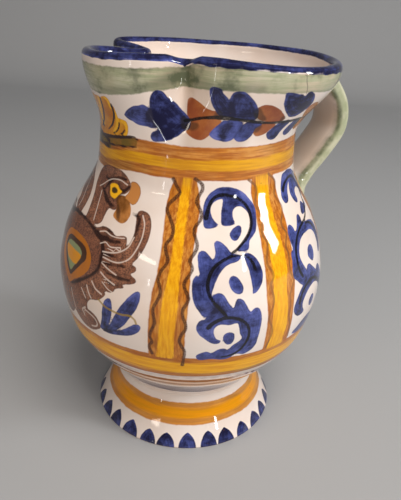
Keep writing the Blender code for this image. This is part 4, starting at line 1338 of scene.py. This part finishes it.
def strap_path():
    """The bow's points, the directions away from the jug and the shares of the way, on a curve through its
    knots, evenly spaced."""
    span = np.hypot(*np.diff(STRAP_BOW, axis=0).T).sum()
    curve = rounded(STRAP_BOW, False, 24)
    length = np.concatenate([[0.0], np.cumsum(np.hypot(*np.diff(curve, axis=0).T))])
    even = np.linspace(0.0, length[-1], STRAP_STEPS)
    reach = np.interp(even, length, curve[:, 0]) + NECK_RADIUS
    rise = np.interp(even, length, curve[:, 1]) + NECK_HEIGHT
    path = np.stack([reach, rise], -1)
    along = np.gradient(path, axis=0)
    along /= np.linalg.norm(along, axis=-1, keepdims=True)
    return path, np.stack([-along[:, 1], along[:, 0]], -1), even / span


def rounded_section(turn, size):
    """One side of a rounded flat section: a cosine or sine, its size raised to two over the roundness."""
    return np.sign(turn) * np.abs(turn) ** (2 / STRAP_ROUNDNESS) * size / 2


def wall_beside(points):
    """Distance of points from the axis, and the jug's outer radius at their angle and height."""
    angle = np.degrees(np.arctan2(points[..., 1], points[..., 0]))
    return np.hypot(points[..., 0], points[..., 1]), outer_radius(angle, points[..., 2])


def handle_mesh():
    """The strap: a rounded flat section carried along the bow, spread at both roots by smooth steps, swelling
    by the square of its nearness to the wall, and ending inside the clay."""
    path, away, share = strap_path()
    turn = 2 * np.pi * np.arange(STRAP_COLUMNS) / STRAP_COLUMNS
    wide = rounded_section(np.cos(turn), STRAP_WIDTH)
    thick = rounded_section(np.sin(turn), STRAP_THICKNESS)
    roots = smoothstep(ROOT_SHARE, 0.0, share) + smoothstep(1 - ROOT_SHARE, 1.0, share)
    spread = 1 + (STRAP_ROOT_SPREAD - 1) * roots
    centre, out = (np.stack([flat[:, 0], 0 * share, flat[:, 1]], -1)[:, None] for flat in (path, away))
    side = np.array([0.0, 1.0, 0.0])
    section = spread[:, None, None] * (wide[None, :, None] * side + thick[None, :, None] * out)
    size = np.linalg.norm(section, axis=-1, keepdims=True)
    points = centre + section
    for _ in range(3):
        reach, wall = wall_beside(points)
        near = 1 - np.clip(reach - wall, 0, STRAP_FILLET) / STRAP_FILLET
        points = centre + section * (1 + STRAP_FILLET / 2 * near[..., None] ** 2 / size)
    reach, wall = wall_beside(points)
    points[..., :2] *= np.maximum((wall - STRAP_SINK) / reach, 1.0)[..., None]

    faces, *where = quads_between(0, STRAP_STEPS, STRAP_COLUMNS)
    groups = [(faces, unrolled(STRAP_ACROSS, STRAP_UP[0] + STRAP_UP[1] * share, *where, STRAP_COLUMNS))]
    total = STRAP_STEPS * STRAP_COLUMNS
    first_cap = [part[:, [1, 0, 2]] for part in fan(0, total, STRAP_COLUMNS)]
    last_cap = fan(total - STRAP_COLUMNS, total + 1, STRAP_COLUMNS)
    for (faces, *where), up in ((first_cap, (0.03, 0.01)), (last_cap, (0.97, 0.99))):
        groups.append((faces, unrolled(STRAP_ACROSS, up, *where, STRAP_COLUMNS)))
    caps = points[[0, -1]].mean(axis=1)
    mesh = make_mesh("jug_handle", np.concatenate([points.reshape(-1, 3), caps]), groups)
    return mesh, np.abs(wide), thick


def add_piece(name, mesh, material):
    """An object at the origin that rides on the jug's body."""
    mesh.materials.append(material)
    piece = bpy.data.objects.new(name, mesh)
    bpy.context.scene.collection.objects.link(piece)
    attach(piece, "root")
    return piece


def below_inner_blue(points):
    """How far corners inside the mouth lie below the cobalt there. It reaches down from the crest by a little,
    and by more in the spout, with smooth steps of the angle between."""
    angle = np.degrees(np.arctan2(points[:, 1], points[:, 0]))
    turned = np.mod(angle, 360.0)
    spout = smoothstep(*SPOUT_START, turned) * smoothstep(*SPOUT_END, turned)
    reach = LIP_BLUE_INSIDE + (SPOUT_BLUE_INSIDE - LIP_BLUE_INSIDE) * spout + wobble(angle, 2.2, 0.4)
    return NECK_HEIGHT + lip_value(angle, LIP_RISES) - points[:, 2] - reach


def build_body(brush):
    """The painted body in place of the plain solid. The foot's edge takes the wall's first ring of colours."""
    mesh, points, edge_rows = vessel_mesh()
    first = edge_rows * COLUMNS
    lip_start = first + HEIGHT.size
    below = below_inner_blue(points[lip_start:])
    for name, grid in sorted(layers.items()):
        values = np.full(len(points), 0.0 if name.endswith("_load") or name == "upright" else FAR)
        values[:first] = np.tile(grid[0], edge_rows)
        values[first:lip_start] = grid.ravel()
        if name == "blue":
            values[lip_start:] = below
        elif name == "blue_load":
            values[lip_start:] = 1.1 * smoothstep(0.6, -0.6, below)
        attribute(mesh, name, values)
    height = points[:, 2]
    attribute(mesh, "bare", np.where(height < 0.5, 6 * (height - 0.2), FAR))
    body = add_piece("jug_body", mesh, body_material(brush))
    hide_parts("jug")


def build_handle(brush):
    """The strap with its stripes: distances from the edges of each, across the section and through it."""
    mesh, across, facing = handle_mesh()
    stripes = (
        ("green", np.minimum(-3.0 - facing, 11.6 - across)),
        ("dark_green", np.maximum(np.abs(facing + 2.6) - 1.2, 9.6 - across)),
        # The inner face's stripe is painted shade
        ("inner_side_shade", np.maximum(facing + 3.6, across - 10.6)),
        ("pale_green", np.maximum(1.6 - facing, 11.0 - across)))
    for name, distance in stripes:
        attribute(mesh, name, np.concatenate([np.tile(distance, STRAP_STEPS), [FAR, FAR]]))
    add_piece("jug_handle", mesh, handle_material(brush))


# Camera, floor and light

CAMERA_PLACE = (-104.796, -259.380, 224.8)
CAMERA_TURN = 22.0
CAMERA_PITCH = 25.37
CAMERA_ROLL = 3.48
CAMERA_YAW = 0.98
CAMERA_FOCAL_PIXELS = 579.9
PICTURE_WIDTH = 401
SENSOR_WIDTH = 36.0

# The sheet under and behind the jug, in metres: its front, the place where it begins to rise, and its back
FLOOR_DEPTHS = (-1.4, 0.9, 1.5)
FLOOR_LEVEL_SHARE = 0.55
FLOOR_HALF_WIDTH = 1.6
FLOOR_RISE = 1.1
FLOOR_SHADE = (0.42, 0.43, 0.44, 1.0)
FLOOR_ROUGHNESS = 0.6
SKY_SHADE = (0.92, 0.95, 1.0, 1.0)
SKY_STRENGTH = 0.14
WHITE = (1.0, 1.0, 1.0)

# Lights: name, place, height of the point on the axis that it faces, width and height, watts, tint, and
# whether it is mirrored in the glaze, where a wide one would show as a veil
LIGHTS = (
    ("window_light", (0.94, -0.62, 0.50), 0.1, (0.18, 0.32), 6.0, WHITE, True),
    ("narrow_light", (0.45, -1.06, 0.42), 0.1, (0.05, 0.16), 1.0, WHITE, True),
    ("slit_light", (-1.02, -0.72, 0.02), 0.17, (0.03, 0.30), 0.35, WHITE, True),
    ("streak_light", (-0.99, -0.57, 0.47), 0.1, (0.32, 0.05), 0.5, (1.0, 0.86, 0.72), True),
    ("main_light", (0.05, -0.62, 1.38), 0.1, (0.8, 0.8), 14.0, (1.0, 0.93, 0.86), False),
    ("fill_light", (-1.0, -0.7, 0.35), 0.1, (0.6, 0.6), 1.5, (1.0, 0.72, 0.50), False),
    ("low_light", (-0.15, -1.1, 0.62), 0.03, (0.6, 0.4), 2.6, (1.0, 0.92, 0.84), False),
)


def add_camera():
    """A camera from its pitch, yaw and roll, with the focal length given in pixels of the picture."""
    pitch, yaw, roll = np.radians([CAMERA_PITCH, CAMERA_YAW, CAMERA_ROLL])
    forward = np.array([np.sin(yaw) * np.cos(pitch), np.cos(yaw) * np.cos(pitch), -np.sin(pitch)])
    right = np.array([np.cos(yaw), -np.sin(yaw), 0.0])
    up = np.cross(right, forward)
    right, up = np.cos(roll) * right + np.sin(roll) * up, np.cos(roll) * up - np.sin(roll) * right
    turn = np.radians(-CAMERA_TURN)
    about = np.array([[np.cos(turn), -np.sin(turn), 0], [np.sin(turn), np.cos(turn), 0], [0, 0, 1]])
    camera = bpy.data.objects.new("camera", bpy.data.cameras.new("camera"))
    camera.data.sensor_fit = "HORIZONTAL"
    camera.data.sensor_width = SENSOR_WIDTH
    camera.data.lens = SENSOR_WIDTH * CAMERA_FOCAL_PIXELS / PICTURE_WIDTH
    camera.data.clip_start = 0.01
    matrix = np.eye(4)
    matrix[:3, 0] = about @ right
    matrix[:3, 1] = about @ up
    matrix[:3, 2] = -(about @ forward)
    matrix[:3, 3] = np.array(CAMERA_PLACE) * MM
    camera.matrix_world = matrix.T.tolist()
    bpy.context.scene.collection.objects.link(camera)
    bpy.context.scene.camera = camera


def add_light(name, place, aim_height, size, power, tint, mirrored_in_glaze):
    """A soft rectangular light that faces a point on the axis."""
    lamp = bpy.data.lights.new(name, "AREA")
    lamp.shape = "RECTANGLE"
    lamp.size, lamp.size_y = size
    lamp.energy = power
    lamp.color = tint
    thing = bpy.data.objects.new(name, lamp)
    thing.location = place
    facing = Vector((0.0, 0.0, aim_height)) - Vector(place)
    thing.rotation_euler = facing.to_track_quat("-Z", "Y").to_euler()
    thing.visible_glossy = mirrored_in_glaze
    bpy.context.scene.collection.objects.link(thing)


def add_floor():
    """A wide pale sheet that curves up far behind the jug: level, then a smooth step of the way to the power
    1.5."""
    across = np.linspace(-FLOOR_HALF_WIDTH, FLOOR_HALF_WIDTH, 9)
    run = np.linspace(0.0, 1.0, 33)
    depth = np.interp(run, [0.0, FLOOR_LEVEL_SHARE, 1.0], FLOOR_DEPTHS)
    lift = FLOOR_RISE * smoothstep(FLOOR_LEVEL_SHARE, 1.0, run) ** 1.5
    turn = np.radians(-CAMERA_TURN)
    side, back = np.meshgrid(across, np.arange(len(run)))
    x, y, z = side, depth[back], lift[back]
    points = np.stack([x * np.cos(turn) - y * np.sin(turn), x * np.sin(turn) + y * np.cos(turn), z], -1)
    count = len(across)
    steps = np.meshgrid(np.arange(len(run) - 1), np.arange(count - 1), indexing="ij")
    row, column = (part.ravel() for part in steps)
    first = row * count + column
    faces = np.stack([first, first + 1, first + 1 + count, first + count], 1)
    mesh = bpy.data.meshes.new("floor")
    mesh.from_pydata(points.reshape(-1, 3).tolist(), [], faces.tolist())
    mesh.polygons.foreach_set("use_smooth", np.ones(len(faces), bool))
    material = bpy.data.materials.new("pale_floor")
    material.use_nodes = True
    shader = material.node_tree.nodes["Principled BSDF"]
    shader.inputs["Base Color"].default_value = FLOOR_SHADE
    shader.inputs["Roughness"].default_value = FLOOR_ROUGHNESS
    mesh.materials.append(material)
    floor = bpy.data.objects.new("floor", mesh)
    bpy.context.scene.collection.objects.link(floor)


def add_surroundings():
    """Even pale light from all round."""
    world = bpy.data.worlds.new("studio")
    bpy.context.scene.world = world
    world.use_nodes = True
    background = world.node_tree.nodes["Background"]
    background.inputs["Color"].default_value = SKY_SHADE
    background.inputs["Strength"].default_value = SKY_STRENGTH


paint_all()
brush_edge = brush_group()
build_body(brush_edge)
build_handle(brush_edge)
add_camera()
add_floor()
add_surroundings()
for light in LIGHTS:
    add_light(*light)
bpy.context.scene.view_settings.view_transform = "Standard"
